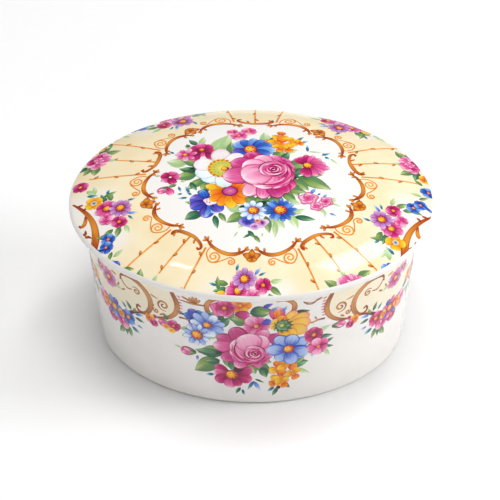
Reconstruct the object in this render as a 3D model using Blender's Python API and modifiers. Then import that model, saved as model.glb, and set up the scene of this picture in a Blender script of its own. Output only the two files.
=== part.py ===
"""Oval porcelain trinket box: an open base and a lift-off domed lid.

Both pieces are turned shapes pressed to an oval. The frame is in metres with
+Z up, the origin at the centre of the foot's underside, +X along the oval's
length and -Y towards the front.
"""

import math

import bpy

MM = 0.001

# The oval
LID_HALF_LENGTH = 55.0 * MM
OVAL_RATIO = 0.823  # width over length, the same on both pieces

# The base
BASE_HEIGHT = 44.9 * MM
MOUTH_RADIUS = 50.5 * MM
FOOT_RADIUS = 46.3 * MM
WALL = 3.0 * MM
FLOOR_TOP = 3.6 * MM
FLOOR_FILLET = 4.0 * MM
FOOT_RING_WIDTH = 2.0 * MM
FOOT_FILLET = 1.5 * MM
FOOT_RECESS = 1.2 * MM

# The lid
SEAT_GAP = 0.3 * MM
RIM_THICKNESS = 2.7 * MM
RIM_MEETS_DOME = math.radians(60.0)  # how far up the rim's round edge the dome starts
DOME_RISE = 7.58 * MM
DOME_POWER = 2.392
DOME_ROOT = 1.11
LID_WALL = 3.0 * MM
FLANGE_DEPTH = 5.0 * MM
FLANGE_WALL = 2.5 * MM
FLANGE_CLEARANCE = 0.9 * MM
FLANGE_DRAFT = 0.6 * MM
FLANGE_FILLET = 2.0 * MM

# How finely the turned shapes are drawn
TURN_STEPS = 80
ROUND_STEPS = 4
DOME_STEPS = 9
SMOOTH_UNDER = math.radians(40.0)
MERGE = 0.01 * MM

COLLECTION = "porcelain_trinket_box"


def clear_scene():
    for obj in list(bpy.data.objects):
        bpy.data.objects.remove(obj, do_unlink=True)


def arc(centre_x, centre_z, radius, start_deg, end_deg, steps=ROUND_STEPS):
    """Points along a round corner; 0 degrees points away from the axis and 90 points up."""
    points = []
    for i in range(steps + 1):
        angle = math.radians(start_deg + (end_deg - start_deg) * i / steps)
        points.append((centre_x + radius * math.cos(angle), centre_z + radius * math.sin(angle)))
    return points


def outer_wall_radius(height):
    return FOOT_RADIUS + (MOUTH_RADIUS - FOOT_RADIUS) * height / BASE_HEIGHT


def base_outline():
    """From the middle of the floor, up the inside, over the lip and down the outside to the foot."""
    lip = WALL / 2
    lip_centre = outer_wall_radius(BASE_HEIGHT - lip) - lip
    floor_corner = outer_wall_radius(FLOOR_TOP) - WALL - FLOOR_FILLET
    ring_outer = outer_wall_radius(FOOT_FILLET) - FOOT_FILLET
    ring_inner = ring_outer - FOOT_RING_WIDTH
    points = [(0.0, FLOOR_TOP)]
    points += arc(floor_corner, FLOOR_TOP + FLOOR_FILLET, FLOOR_FILLET, -90, 0)
    points += arc(lip_centre, BASE_HEIGHT - lip, lip, 180, 0, 2 * ROUND_STEPS)
    points += arc(ring_outer, FOOT_FILLET, FOOT_FILLET, 0, -90)
    points.append((ring_inner, 0.0))
    points.append((ring_inner - FOOT_RECESS, FOOT_RECESS))
    points.append((0.0, FOOT_RECESS))
    return points


def dome_height(radius, edge_radius):
    """The dome's height above its edge: a full crown that rolls over towards the rim."""
    share = min(radius / edge_radius, 1.0)
    return DOME_RISE * (1.0 - share**DOME_POWER) ** (1.0 / DOME_ROOT)


def lid_outline():
    """From the crown over the dome and the rounded rim, then under the brim, flange and dome."""
    rim = RIM_THICKNESS / 2
    rim_centre = LID_HALF_LENGTH - rim
    edge_radius = rim_centre + rim * math.cos(RIM_MEETS_DOME)
    edge_height = rim + rim * math.sin(RIM_MEETS_DOME)
    flange_outer = MOUTH_RADIUS - WALL - FLANGE_CLEARANCE
    flange_tip = flange_outer - FLANGE_DRAFT
    flange_inner = flange_tip - FLANGE_WALL
    points = []
    for i in range(DOME_STEPS):
        radius = edge_radius * math.sin(math.pi / 2 * i / DOME_STEPS)
        points.append((radius, edge_height + dome_height(radius, edge_radius)))
    points += arc(rim_centre, rim, rim, math.degrees(RIM_MEETS_DOME), -90, 2 * ROUND_STEPS)
    points.append((flange_outer, 0.0))
    tip = FLANGE_WALL / 2
    points += arc(flange_tip - tip, tip - FLANGE_DEPTH, tip, 0, -180, ROUND_STEPS)
    under = edge_height - LID_WALL
    corner = flange_inner - FLANGE_FILLET
    points += arc(corner, under + dome_height(corner, edge_radius) - FLANGE_FILLET, FLANGE_FILLET, 0, 70)
    for i in reversed(range(DOME_STEPS // 2)):
        radius = corner * i / (DOME_STEPS // 2)
        points.append((radius, under + dome_height(radius, edge_radius)))
    return points


def turned_oval(name, outline, material, home):
    """Turns an outline about Z, presses it to the oval and shades it smooth."""
    mesh = bpy.data.meshes.new(name)
    edges = [(i, i + 1) for i in range(len(outline) - 1)]
    mesh.from_pydata([(x, 0.0, z) for x, z in outline], edges, [])
    obj = bpy.data.objects.new(name, mesh)
    home.objects.link(obj)
    screw = obj.modifiers.new("turn", "SCREW")
    screw.axis = "Z"
    screw.steps = TURN_STEPS
    screw.render_steps = TURN_STEPS
    screw.use_merge_vertices = True
    screw.merge_threshold = MERGE
    bpy.context.view_layer.objects.active = obj
    obj.select_set(True)
    bpy.ops.object.convert(target="MESH")
    obj.scale = (1.0, OVAL_RATIO, 1.0)
    bpy.ops.object.transform_apply(location=False, rotation=False, scale=True)
    obj.select_set(False)
    obj.data.shade_smooth()
    obj.data.set_sharp_from_angle(angle=SMOOTH_UNDER)
    obj.data.materials.append(material)
    return obj


def porcelain(name, colour, roughness):
    material = bpy.data.materials.new(name)
    material.use_nodes = True
    shader = material.node_tree.nodes["Principled BSDF"]
    shader.inputs["Base Color"].default_value = colour
    shader.inputs["Roughness"].default_value = roughness
    shader.inputs["Metallic"].default_value = 0.0
    shader.inputs["IOR"].default_value = 1.52
    return material


def base_porcelain():
    """Warm white glaze, a little softer in shine than the lid's."""
    return porcelain("base_porcelain", (0.86, 0.85, 0.80, 1.0), 0.12)


def lid_porcelain():
    """Cream-tinted glaze over white porcelain."""
    return porcelain("lid_porcelain", (0.88, 0.85, 0.76, 1.0), 0.08)


def make_base(home):
    return turned_oval("box_base", base_outline(), base_porcelain(), home)


def make_lid(home):
    """The lid's origin is on the lifting axis, in the plane of its seat."""
    lid = turned_oval("box_lid", lid_outline(), lid_porcelain(), home)
    lid.location = (0.0, 0.0, BASE_HEIGHT + SEAT_GAP)
    return lid


def main():
    clear_scene()
    home = bpy.data.collections.new(COLLECTION)
    bpy.context.scene.collection.children.link(home)
    make_base(home)
    make_lid(home)


main()
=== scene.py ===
"""Looks of the oval porcelain trinket box: glazed porcelain with fired-on enamel flowers.

The porcelain is turned and pressed to the oval. The decoration is laid on it as
thin flakes of enamel, drawn flat in millimetres and then wrapped onto the lid's
dome or the base's wall. Lid drawings use x and y; wall drawings use the length
round the mouth from the middle of the front, and the height.
"""

import math
import random

import bpy
import numpy as np
from mathutils import Matrix, Vector


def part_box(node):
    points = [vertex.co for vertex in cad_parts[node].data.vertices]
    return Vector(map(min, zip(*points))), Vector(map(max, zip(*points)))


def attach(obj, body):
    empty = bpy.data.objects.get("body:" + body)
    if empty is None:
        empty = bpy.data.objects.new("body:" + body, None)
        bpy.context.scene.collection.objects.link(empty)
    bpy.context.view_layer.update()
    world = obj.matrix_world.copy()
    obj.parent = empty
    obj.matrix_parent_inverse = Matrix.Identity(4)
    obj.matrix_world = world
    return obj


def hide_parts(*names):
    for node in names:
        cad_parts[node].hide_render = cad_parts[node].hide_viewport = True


bl_info = {
    "name": "Porcelain trinket box",
    "version": (1, 0, 0),
    "blender": (4, 5, 0),
    "location": "View3D > Sidebar > Trinket Box",
    "description": "Builds the glaze, the enamel flowers and the stage round the box's frame",
    "category": "Object",
}

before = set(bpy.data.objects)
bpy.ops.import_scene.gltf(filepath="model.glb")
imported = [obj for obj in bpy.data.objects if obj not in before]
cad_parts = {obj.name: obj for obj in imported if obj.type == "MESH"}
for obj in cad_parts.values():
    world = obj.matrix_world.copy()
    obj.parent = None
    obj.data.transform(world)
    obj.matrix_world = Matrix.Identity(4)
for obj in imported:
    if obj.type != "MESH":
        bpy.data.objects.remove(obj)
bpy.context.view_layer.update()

# ---------------------------------------------------------------- sizes, in millimetres

MM = 0.001
LID_LOW, LID_HIGH = (Vector(corner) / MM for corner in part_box("box_lid"))

OVAL = LID_HIGH.y / LID_HIGH.x  # width over length
LIP = (Vector(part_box("box_base")[1]) / MM).z  # height of the base's lip
FLANGE_DEPTH = 5.0
SEAT = LID_LOW.z + FLANGE_DEPTH
RIM = 2.7  # thickness of the lid's rounded edge
RIM_MEETS_DOME = 60.0  # degrees up the rim's round edge where the dome starts
RIM_CENTRE = LID_HIGH.x - RIM / 2
DOME_EDGE = RIM_CENTRE + RIM / 2 * math.cos(math.radians(RIM_MEETS_DOME))
DOME_BASE = SEAT + RIM / 2 * (1 + math.sin(math.radians(RIM_MEETS_DOME)))
DOME_RISE = LID_HIGH.z - DOME_BASE
DOME_POWER = 2.392
DOME_ROOT = 1.11
LID_WALL = 3.0
FLANGE_OUTER = 46.6
FLANGE_DRAFT = 0.6
FLANGE_WALL = 2.5

MOUTH = 50.5
FOOT = 46.3
WALL = 3.0
FLOOR_TOP = 3.6
FOOT_FILLET = 1.5
FOOT_RING = 2.0
FOOT_RECESS = 1.2

DECAL_X, DECAL_Y = 0.5, 1.3  # how far right of the middle, and behind it, the lid's pattern sits
DECAL_TURN = 1.0  # and is turned by this many degrees
BOUQUET_AT = (0.5, -0.5)  # the bouquet inside it is a decal of its own
BOUQUET_TURN = 1.9
END_SCROLL_SLIP = -1.8  # the end scrolls are a third decal, laid this many degrees round
WALL_SHIFT = 1.4  # the wall's pattern starts this far right of the middle
REPEATS = 5

ENAMEL_FIRST = 0.018  # height of the lowest flake over the glaze
ENAMEL_STEP = 0.006  # and of each one that lies on another
ENAMEL_SUNK = 0.02  # how far a flake's edge reaches into the glaze
RELIEF_CELL = 0.5


def linear(code):
    """An sRGB hex colour as linear red, green and blue, and full opacity."""
    shares = (int(code[i : i + 2], 16) / 255 for i in (1, 3, 5))
    return (*(c / 12.92 if c <= 0.04045 else ((c + 0.055) / 1.055) ** 2.4 for c in shares), 1.0)


# ---------------------------------------------------------------- settings


def tint(name, description, code):
    """A colour setting whose default is an sRGB hex colour."""
    return bpy.props.FloatVectorProperty(
        name=name, description=description, subtype="COLOR", size=4, min=0.0, max=1.0,
        default=linear(code),
    )


class TrinketGlazes(bpy.types.PropertyGroup):
    """Colours of the porcelain and of its glazes."""

    white: tint("White glaze", "Clear glaze on white porcelain", "#F5F2EE")
    cream: tint("Cream glaze", "Tinted ground outside the lid's centre panel", "#F9EBC8")
    biscuit: tint("Biscuit", "Bare porcelain where the piece stood in the kiln", "#E9E0D2")


class TrinketEnamels(bpy.types.PropertyGroup):
    """Main colour of each overglaze enamel."""

    rose: tint("Rose", "Soft pink petals", "#E35F9F")
    deep: tint("Deep rose", "Shaded petals of the roses", "#C6327E")
    poppy: tint("Poppy", "Yellow petals with red tips", "#F5C64C")
    edged: tint("Edged blue", "Pale petals with strong blue edges", "#A6BDEB")
    cup: tint("Rose cup", "Pale cup of the big roses", "#F4A9C9")
    carmine: tint("Carmine", "Deep magenta petals", "#C21D6C")
    white: tint("White petals", "Anemone petals", "#FAEFF2")
    ice: tint("Ice", "Anemone petals in shade", "#EAF3F6")
    frost: tint("Frost", "White petals with a blue edge", "#DCE9FA")
    cobalt: tint("Cobalt", "Strong blue petals", "#2E62C4")
    sky: tint("Sky", "Light blue petals", "#6C9BDF")
    violet: tint("Violet", "Blue violet petals", "#5C50B8")
    lilac: tint("Lilac", "Purple daisies", "#C583C6")
    orange: tint("Orange", "Orange petals", "#F58A14")
    yellow: tint("Yellow", "Yellow petals", "#F8BE22")
    leaf: tint("Leaf", "Fresh green leaves", "#85A356")
    sage: tint("Sage", "Dark green leaves", "#4F8560")
    wash: tint("Leaf wash", "Thin green washes", "#C3D79C")
    teal: tint("Teal", "Blue green sprigs", "#2C7F9C")
    scroll: tint("Scroll", "Ochre scrollwork", "#E3932C")
    rust: tint("Rust", "Shaded scrollwork", "#B4501C")
    tan: tint("Tan scroll", "Browner scrollwork of the wall", "#D99552")
    line: tint("Fine line", "Thin ochre lines", "#EE9626")
    amber: tint("Amber", "Flower centres", "#F79F24")
    lime: tint("Lime", "Centre of the white anemone", "#D2CB5C")
    pinkeye: tint("Pink centre", "Centre of the orange flower", "#CE5A9C")
    shadow: tint("Shadow", "Dark plum between petals", "#5A0B33")
    pine: tint("Pine", "Darkest green between leaves", "#1B3B2A")
    cream: tint("Cream ground", "Tinted panels of the wall", "#FFF3D8")


class TrinketSizes(bpy.types.PropertyGroup):
    """Fineness of the turned porcelain."""

    turn_steps: bpy.props.IntProperty(
        name="Turn steps", description="Faces round each turned piece", default=360, min=48, max=720
    )
    dome_steps: bpy.props.IntProperty(
        name="Dome steps", description="Faces from the lid's crown to its edge", default=70, min=12,
        max=200,
    )


class TrinketStage(bpy.types.PropertyGroup):
    """Camera and light."""

    distance: bpy.props.FloatProperty(
        name="Distance", description="Camera to lid", unit="LENGTH", default=1.196, min=0.3
    )
    lens: bpy.props.FloatProperty(
        name="Lens", description="Focal length in millimetres", default=286.9, min=20.0
    )
    elevation: bpy.props.FloatProperty(
        name="Elevation", description="Camera height angle", subtype="ANGLE", default=math.radians(38.64)
    )
    azimuth: bpy.props.FloatProperty(
        name="Azimuth", description="How far round to the right the camera stands", subtype="ANGLE",
        default=math.radians(1.9),
    )
    aim_drop: bpy.props.FloatProperty(
        name="Aim drop", description="How far below the lid's edge the camera aims", unit="LENGTH",
        default=0.01502
    )
    aim_side: bpy.props.FloatProperty(
        name="Aim side", description="How far left of the middle the camera aims", unit="LENGTH",
        default=0.00052
    )
    key_power: bpy.props.FloatProperty(name="Key", description="Right softbox in watts", default=3.7)
    top_power: bpy.props.FloatProperty(name="Top", description="Overhead fill in watts", default=6.1)
    front_power: bpy.props.FloatProperty(name="Front", description="Front fill in watts", default=1.3)
    window_power: bpy.props.FloatProperty(
        name="Window", description="Small softbox in watts", default=0.85,
    )
    strip_power: bpy.props.FloatProperty(name="Strip", description="Left strip in watts", default=0.10)
    ambient: bpy.props.FloatProperty(
        name="Ambient", description="Strength of the white room", default=0.22,
    )


# ---------------------------------------------------------------- materials

SMOOTH = {"interpolation_type": "SMOOTHSTEP"}
COLOURS = {"data_type": "RGBA"}
CURVE_TOP = 40.0  # the radius in mm that a float curve's 1 stands for


def add(tree, kind, inputs=None, **settings):
    """Adds a node with its settings, and fills its inputs with values, sockets or first outputs."""
    node = tree.nodes.new("ShaderNode" + kind)
    for key, value in settings.items():
        setattr(node, key, value)
    for key, value in (inputs or {}).items():
        if isinstance(value, bpy.types.Node):
            value = value.outputs[0]
        if isinstance(value, bpy.types.NodeSocket):
            tree.links.new(value, node.inputs[key])
        else:
            node.inputs[key].default_value = value
    return node


def blank(name):
    """A material with a shader and its output, and nothing on it yet."""
    material = bpy.data.materials.new(name)
    material.use_nodes = True
    tree = material.node_tree
    tree.nodes.clear()
    shader = add(tree, "BsdfPrincipled", {"IOR": 1.52})
    add(tree, "OutputMaterial", {"Surface": shader})
    return material, tree, shader


def glaze_surface(tree, shader, place, roughness=0.07):
    """Gloss of a fired glaze: slow ripples some 9 mm long, and tiny pin marks."""
    ripple = add(tree, "TexNoise", {"Vector": place, "Scale": 1 / (9 * MM), "Detail": 2.0})
    pins = add(tree, "TexNoise", {"Vector": place, "Scale": 1 / (0.7 * MM), "Detail": 3.0})
    height = add(tree, "Math", {0: pins, 1: 0.03, 2: ripple}, operation="MULTIPLY_ADD")
    bump = add(tree, "Bump", {"Height": height, "Strength": 0.25, "Distance": 0.12 * MM})
    gloss = add(tree, "MapRange", {"Value": pins, "To Min": roughness * 0.7, "To Max": roughness * 1.5})
    tree.links.new(bump.outputs["Normal"], shader.inputs["Normal"])
    tree.links.new(gloss.outputs["Result"], shader.inputs["Roughness"])
    return ripple, pins


def white_glaze():
    """Gloss glaze on white porcelain: nearly neutral, a breath greyer where the glaze runs thick."""
    material, tree, shader = blank("white gloss glaze on porcelain")
    white = tuple(bpy.context.scene.trinket_glazes.white)
    place = add(tree, "TexCoord").outputs["Object"]
    ripple, pins = glaze_surface(tree, shader, place)
    thick = add(tree, "MapRange", {"Value": ripple, "From Min": 0.45, "From Max": 0.75, "To Max": 0.35},
        **SMOOTH)
    speck = add(tree, "MapRange", {"Value": pins, "From Min": 0.79, "From Max": 0.83, "To Max": 0.35},
        **SMOOTH)
    tone = add(tree, "Mix", {0: thick, 6: white, 7: linear("#E9E7E2")}, **COLOURS).outputs[2]
    tone = add(tree, "Mix", {0: speck, 6: tone, 7: linear("#B9A78C")}, **COLOURS).outputs[2]
    tree.links.new(tone, shader.inputs["Base Color"])
    return material


def biscuit():
    """Unglazed porcelain on the foot ring and the flange's tip: matt, warm, faintly gritty."""
    material, tree, shader = blank("bare biscuit porcelain")
    warm = tuple(bpy.context.scene.trinket_glazes.biscuit)
    place = add(tree, "TexCoord").outputs["Object"]
    grit = add(tree, "TexNoise", {"Vector": place, "Scale": 1 / (0.5 * MM), "Detail": 4.0})
    tone = add(tree, "Mix", {0: grit, 6: warm, 7: linear("#CFC3B0")}, **COLOURS).outputs[2]
    bump = add(tree, "Bump", {"Height": grit, "Strength": 0.4, "Distance": 0.05 * MM})
    tree.links.new(tone, shader.inputs["Base Color"])
    tree.links.new(bump.outputs["Normal"], shader.inputs["Normal"])
    shader.inputs["Roughness"].default_value = 0.72
    return material


def panel_edge_curve(tree, share):
    """Radius of the white panel's edge, from a shell (0) to the middle of the next arch (1)."""
    node = add(tree, "FloatCurve", {"Value": share})
    curve = node.mapping.curves[0]
    shape = (
        (0.0, 31.6), (0.12, 31.4), (0.29, 32.9), (0.5, 32.4), (0.70, 30.6), (0.76, 32.2), (0.88, 31.1),
        (1.0, 30.7),
    )
    for point, (x, radius) in zip(curve.points, (shape[0], shape[-1])):
        point.location = (x, radius / CURVE_TOP)
    for x, radius in shape[1:-1]:
        curve.points.new(x, radius / CURVE_TOP)
    node.mapping.update()
    return add(tree, "Math", {0: node, 1: CURVE_TOP * MM}, operation="MULTIPLY")


def cream_glaze():
    """The dome's glaze: a white panel, and a cream ground outside it that is paler behind the sprays."""
    material, tree, shader = blank("cream and white gloss glaze")
    glazes = bpy.context.scene.trinket_glazes
    place = add(tree, "TexCoord").outputs["Object"]
    ripple, _ = glaze_surface(tree, shader, place)
    axes = add(tree, "SeparateXYZ", {0: place})
    x = add(tree, "Math", {0: axes.outputs["X"], 1: DECAL_X * MM}, operation="SUBTRACT")
    y = add(tree, "Math", {0: axes.outputs["Y"], 1: DECAL_Y * MM}, operation="SUBTRACT")
    y_square = add(tree, "Math", {0: y, 1: y}, operation="MULTIPLY")
    squares = add(tree, "Math", {0: x, 1: x, 2: y_square}, operation="MULTIPLY_ADD")
    radius = add(tree, "Math", {0: squares}, operation="SQRT")
    angle = add(tree, "Math", {0: y, 1: x}, operation="ARCTAN2")
    from_shell = add(tree, "Math", {0: angle, 1: math.radians(90 - DECAL_TURN)}, operation="ADD")
    repeats = add(tree, "Math", {0: from_shell, 1: REPEATS / math.tau}, operation="MULTIPLY")
    there_and_back = add(tree, "Math", {0: repeats, 1: 0.5}, operation="PINGPONG")
    share = add(tree, "Math", {0: there_and_back, 1: 2.0}, operation="MULTIPLY")
    outside = add(tree, "Math", {0: radius, 1: panel_edge_curve(tree, share)}, operation="SUBTRACT")
    tinted = add(tree, "MapRange", {"Value": outside, "From Min": -0.25 * MM, "From Max": 0.25 * MM},
        **SMOOTH)
    outer = add(tree, "MapRange", {"Value": radius, "From Min": 39 * MM, "From Max": 46 * MM}, **SMOOTH)
    spray = {"Value": share, "From Min": 0.28, "From Max": 0.62, "To Min": 1.0, "To Max": 0.0}
    behind_spray = add(tree, "Math", {0: outer, 1: add(tree, "MapRange", spray, **SMOOTH)},
        operation="MULTIPLY")
    left_over = add(tree, "Math", {0: behind_spray, 1: -0.85, 2: 1.0}, operation="MULTIPLY_ADD")
    cream = add(tree, "Math", {0: tinted, 1: left_over}, operation="MULTIPLY")
    uneven = add(tree, "MapRange", {"Value": ripple, "From Min": 0.3, "From Max": 0.7}, **SMOOTH)
    ground = add(tree, "Mix", {0: uneven, 6: tuple(glazes.cream), 7: linear("#F5E3B9")},
        **COLOURS).outputs[2]
    tone = add(tree, "Mix", {0: cream, 6: tuple(glazes.white), 7: ground}, **COLOURS).outputs[2]
    tree.links.new(tone, shader.inputs["Base Color"])
    return material


# Each enamel: what it is, colours at the root, along the body and at the tip, the colour of its
# outline, how wide the outline is, how streaky the brushing is, and the colour of its shaded side.
ENAMELS = {
    # soft washes that let the white glaze show through
    "rose": ("rose pink overglaze enamel", "#B5145F", "#F8CBDD", "#B81F6C", 0.30, 0.40, None),
    "cup": ("pale rose overglaze enamel", "#DE5797", "#FCE4EC", "#C9327F", 0.20, 0.35, None),
    "deep": ("deep rose overglaze enamel", "#8E0A48", "#E07FB0", "#A0165C", 0.30, 0.45, None),
    "poppy": ("poppy overglaze enamel", "#E6A81E", "#F2957C", "#DB4F4C", 0.30, 0.45, None),
    "edged": ("pale blue overglaze enamel, cobalt at its edges", "#2F58C4", "#C6D6F5", "#2246B8", 0.42,
        0.40, None),
    # strong colours, thick at the root of each petal
    "carmine": ("carmine overglaze enamel", "#7D0A3E", "#EF7FB2", "#A30D52", 0.30, 0.45, None),
    "white": ("white overglaze enamel, pink at its edges", "#E2E4B4", "#F7DDE7", "#DDB3C8", 0.26, 0.25,
        None),
    "ice": ("white overglaze enamel, blue at its edges", "#F1F4E2", "#CFE2EC", "#AFC9DA", 0.26, 0.25, None),
    "frost": ("white and blue overglaze enamel", "#2A5FC4", "#FFFFFF", "#5F93DE", 0.42, 0.30, None),
    "cobalt": ("cobalt overglaze enamel", "#10257E", "#8CB4EC", "#1B3F9E", 0.36, 0.55, None),
    "sky": ("sky blue overglaze enamel", "#2C5FC0", "#C9DDF8", "#3468C6", 0.34, 0.45, None),
    "violet": ("violet overglaze enamel", "#2C1680", "#B7A5E8", "#3A2196", 0.36, 0.55, "#2F4FC4"),
    "lilac": ("lilac overglaze enamel", "#6A1766", "#E6CBE8", "#8F3C92", 0.28, 0.50, None),
    "orange": ("orange overglaze enamel", "#D2420C", "#FFC52E", "#D9520F", 0.34, 0.50, None),
    "yellow": ("yellow overglaze enamel", "#DE7F0C", "#FBE25C", "#E48A12", 0.34, 0.45, None),
    # leaves, with one half in shade
    "leaf": ("leaf green overglaze enamel", "#4A7238", "#BDCB8C", "#3C6640", 0.20, 0.45, "#507F52"),
    "sage": ("sage green overglaze enamel", "#1E5238", "#8FBF86", "#1D4A36", 0.24, 0.40, "#235C48"),
    "wash": ("thin green overglaze wash", "#93BA78", "#E6EFD4", "#B2CE92", 0.26, 0.30, "#A5C78A"),
    "teal": ("teal overglaze enamel", "#175B76", "#A6D2DC", "#2B7C96", 0.30, 0.40, None),
    # scrollwork, dark at its edges and ends
    "scroll": ("ochre overglaze enamel", "#9E3A10", "#A8380F", "#A9480F", 0.50, 0.45, None),
    "rust": ("rust brown overglaze enamel", "#7A210C", "#C8691F", "#8E3010", 0.40, 0.45, None),
    "tan": ("tan overglaze enamel", "#94451C", "#94451C", "#8E481E", 0.42, 0.40, None),
    "line": ("fine ochre enamel line", "#E07F18", "#F2A644", "#E48A22", 0.50, 0.30, None),
    # flower centres, from the middle out
    "amber": ("amber overglaze enamel", "#FBB53A", "#E4641A", "#A8350F", 0.22, 0.60, None),
    "lime": ("lime overglaze enamel", "#F3E06A", "#C9CB4A", "#B9B23C", 0.14, 0.20, None),
    "pinkeye": ("deep pink overglaze enamel", "#DB7FB0", "#B23A86", "#8E2468", 0.22, 0.50, None),
    # dark accents and tinted ground
    "shadow": ("plum overglaze enamel", "#3E0726", "#7E1448", "#8C1A52", 0.30, 0.40, None),
    "pine": ("dark green overglaze enamel", "#12291E", "#3C6A46", "#2A5238", 0.34, 0.40, None),
    "cream": ("cream ground enamel", "#FFF3D8", "#FFF3D8", "#FFF6E2", 0.04, 0.10, None),
}


def enamel(key):
    """A fired overglaze enamel: thin along each brush mark, pooled at its edge, with a soft gloss."""
    finish, root, tip, rim, rim_share, streaks, shade = ENAMELS[key]
    material, tree, shader = blank(finish)
    place = add(tree, "TexCoord").outputs["Object"]
    glaze_surface(tree, shader, place, 0.09)
    brush = add(tree, "SeparateXYZ", {0: add(tree, "UVMap", uv_map="brush")})
    along, across = brush.outputs["X"], brush.outputs["Y"]
    tone = add(tree, "Attribute", attribute_name="tone").outputs["Fac"]
    mark = add(tree, "CombineXYZ", {"X": along, "Y": across, "Z": tone})
    hairs = add(tree, "VectorMath", {0: mark, 1: (1.6, 7.0, 60.0)}, operation="MULTIPLY")
    noise = add(tree, "TexNoise", {"Vector": hairs, "Scale": 1.0, "Detail": 2.0})
    streak = add(tree, "Math", {0: noise, 1: 0.5}, operation="SUBTRACT")
    length = add(tree, "Math", {0: streak, 1: streaks * 1.6, 2: along}, operation="MULTIPLY_ADD")
    ramp = add(tree, "ValToRGB", {0: length})
    ramp.color_ramp.interpolation = "EASE"
    first, last = ramp.color_ramp.elements
    first.position = 0.06
    first.color = linear(root)
    last.position = 0.92
    last.color = linear(tip)
    ramp.color_ramp.elements.new(0.48).color = tuple(getattr(bpy.context.scene.trinket_enamels, key))
    colour = ramp.outputs["Color"]
    if shade:
        drift = add(tree, "Math", {0: streak, 1: 0.5, 2: across}, operation="MULTIPLY_ADD")
        half = add(tree, "MapRange", {"Value": drift, "From Min": 0.46, "From Max": 0.62, "To Max": 0.8},
            **SMOOTH)
        colour = add(tree, "Mix", {0: half, 6: colour, 7: linear(shade)}, **COLOURS).outputs[2]
    sideways = add(tree, "Math", {0: across, 1: 2.0, 2: -1.0}, operation="MULTIPLY_ADD")
    from_middle = add(tree, "Math", {0: sideways}, operation="ABSOLUTE")
    uneven = add(tree, "Math", {0: streak, 1: 0.3, 2: from_middle}, operation="MULTIPLY_ADD")
    sides = {"Value": uneven, "From Min": 1.0 - rim_share, "From Max": 1.0, "To Max": 0.85}
    end = {"Value": along, "From Min": 1.0 - rim_share * 0.45, "From Max": 1.0, "To Max": 0.595}
    pooled = {0: add(tree, "MapRange", sides, **SMOOTH), 1: add(tree, "MapRange", end, **SMOOTH)}
    outline = add(tree, "Math", pooled, operation="MAXIMUM")
    colour = add(tree, "Mix", {0: outline, 6: colour, 7: linear(rim)}, **COLOURS).outputs[2]
    value = add(tree, "MapRange", {"Value": tone, "To Min": 0.93, "To Max": 1.06})
    colour = add(tree, "HueSaturation", {"Value": value, "Color": colour})
    tree.links.new(colour.outputs["Color"], shader.inputs["Base Color"])
    return material


def finish_of(key):
    """The material of an enamel, made once."""
    name = ENAMELS[key][0]
    return bpy.data.materials.get(name) or enamel(key)


# ---------------------------------------------------------------- turned porcelain


def arc(x, z, radius, start, end, steps=12):
    """Points along a round corner; 0 degrees points away from the axis and 90 points up."""
    angles = np.radians(np.linspace(start, end, steps + 1))
    return [(x + radius * math.cos(a), z + radius * math.sin(a)) for a in angles]


def line_up(start, end, steps):
    """Points between two corners, so that long straight stretches have even faces."""
    return [tuple(np.array(start) + (np.array(end) - np.array(start)) * i / steps) for i in range(1, steps)]


def wall_radius(height):
    """Half the wall's length over the outside, at a height."""
    return FOOT + (MOUTH - FOOT) * height / LIP


def dome_rise(radius):
    """How far the dome stands over its edge, at a distance from the axis along the oval's length."""
    share = min(radius / DOME_EDGE, 1.0)
    return DOME_RISE * (1.0 - share**DOME_POWER) ** (1.0 / DOME_ROOT)


def base_outline():
    """Middle of the floor, up the inside, over the lip, down the outside and under the foot."""
    lip = WALL / 2
    fillet = 4.0
    lip_centre = wall_radius(LIP - lip) - lip
    corner = wall_radius(FLOOR_TOP) - WALL - fillet
    ring_outer = wall_radius(FOOT_FILLET) - FOOT_FILLET
    ring_inner = ring_outer - FOOT_RING
    floor = [(0.0, FLOOR_TOP)] + line_up((0.0, FLOOR_TOP), (corner, FLOOR_TOP), 12)
    floor += arc(corner, FLOOR_TOP + fillet, fillet, -90, 0)
    over = arc(lip_centre, LIP - lip, lip, 180, 0, 20)
    under = arc(ring_outer, FOOT_FILLET, FOOT_FILLET, 0, -90)
    points = floor + line_up(floor[-1], over[0], 16) + over + line_up(over[-1], under[0], 24) + under
    points += arc(ring_inner, 0.25, 0.25, -90, -160, 4)
    points += arc(ring_inner - FOOT_RECESS - 0.6, FOOT_RECESS - 0.6, 0.6, 20, 90, 4)
    points += line_up(points[-1], (0.0, FOOT_RECESS), 12)
    return points + [(0.0, FOOT_RECESS)]


def lid_outline(dome_steps):
    """The crown over the dome and the rounded rim, then under the brim, the flange and the dome."""
    rim = RIM / 2
    tip = FLANGE_WALL / 2
    flange_tip = FLANGE_OUTER - FLANGE_DRAFT
    fillet = 2.0
    corner = flange_tip - FLANGE_WALL - fillet
    points = []
    for i in range(dome_steps):
        radius = DOME_EDGE * math.sin(math.pi / 2 * i / dome_steps)
        points.append((radius, DOME_BASE + dome_rise(radius)))
    points += arc(RIM_CENTRE, SEAT + rim, rim, RIM_MEETS_DOME, -90, 24)
    points += line_up(points[-1], (FLANGE_OUTER + 0.5, SEAT), 5)
    points += [(FLANGE_OUTER + 0.5, SEAT), (FLANGE_OUTER + 0.1, SEAT - 0.15), (FLANGE_OUTER, SEAT - 0.5)]
    points += arc(flange_tip - tip, SEAT - FLANGE_DEPTH + tip, tip, 0, -180)
    under = DOME_BASE - LID_WALL
    points += arc(corner, under + dome_rise(corner) - fillet, fillet, 0, 75, 8)
    for i in reversed(range(24)):
        radius = (corner - 0.3) * i / 24
        points.append((radius, under + dome_rise(radius)))
    return points


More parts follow.
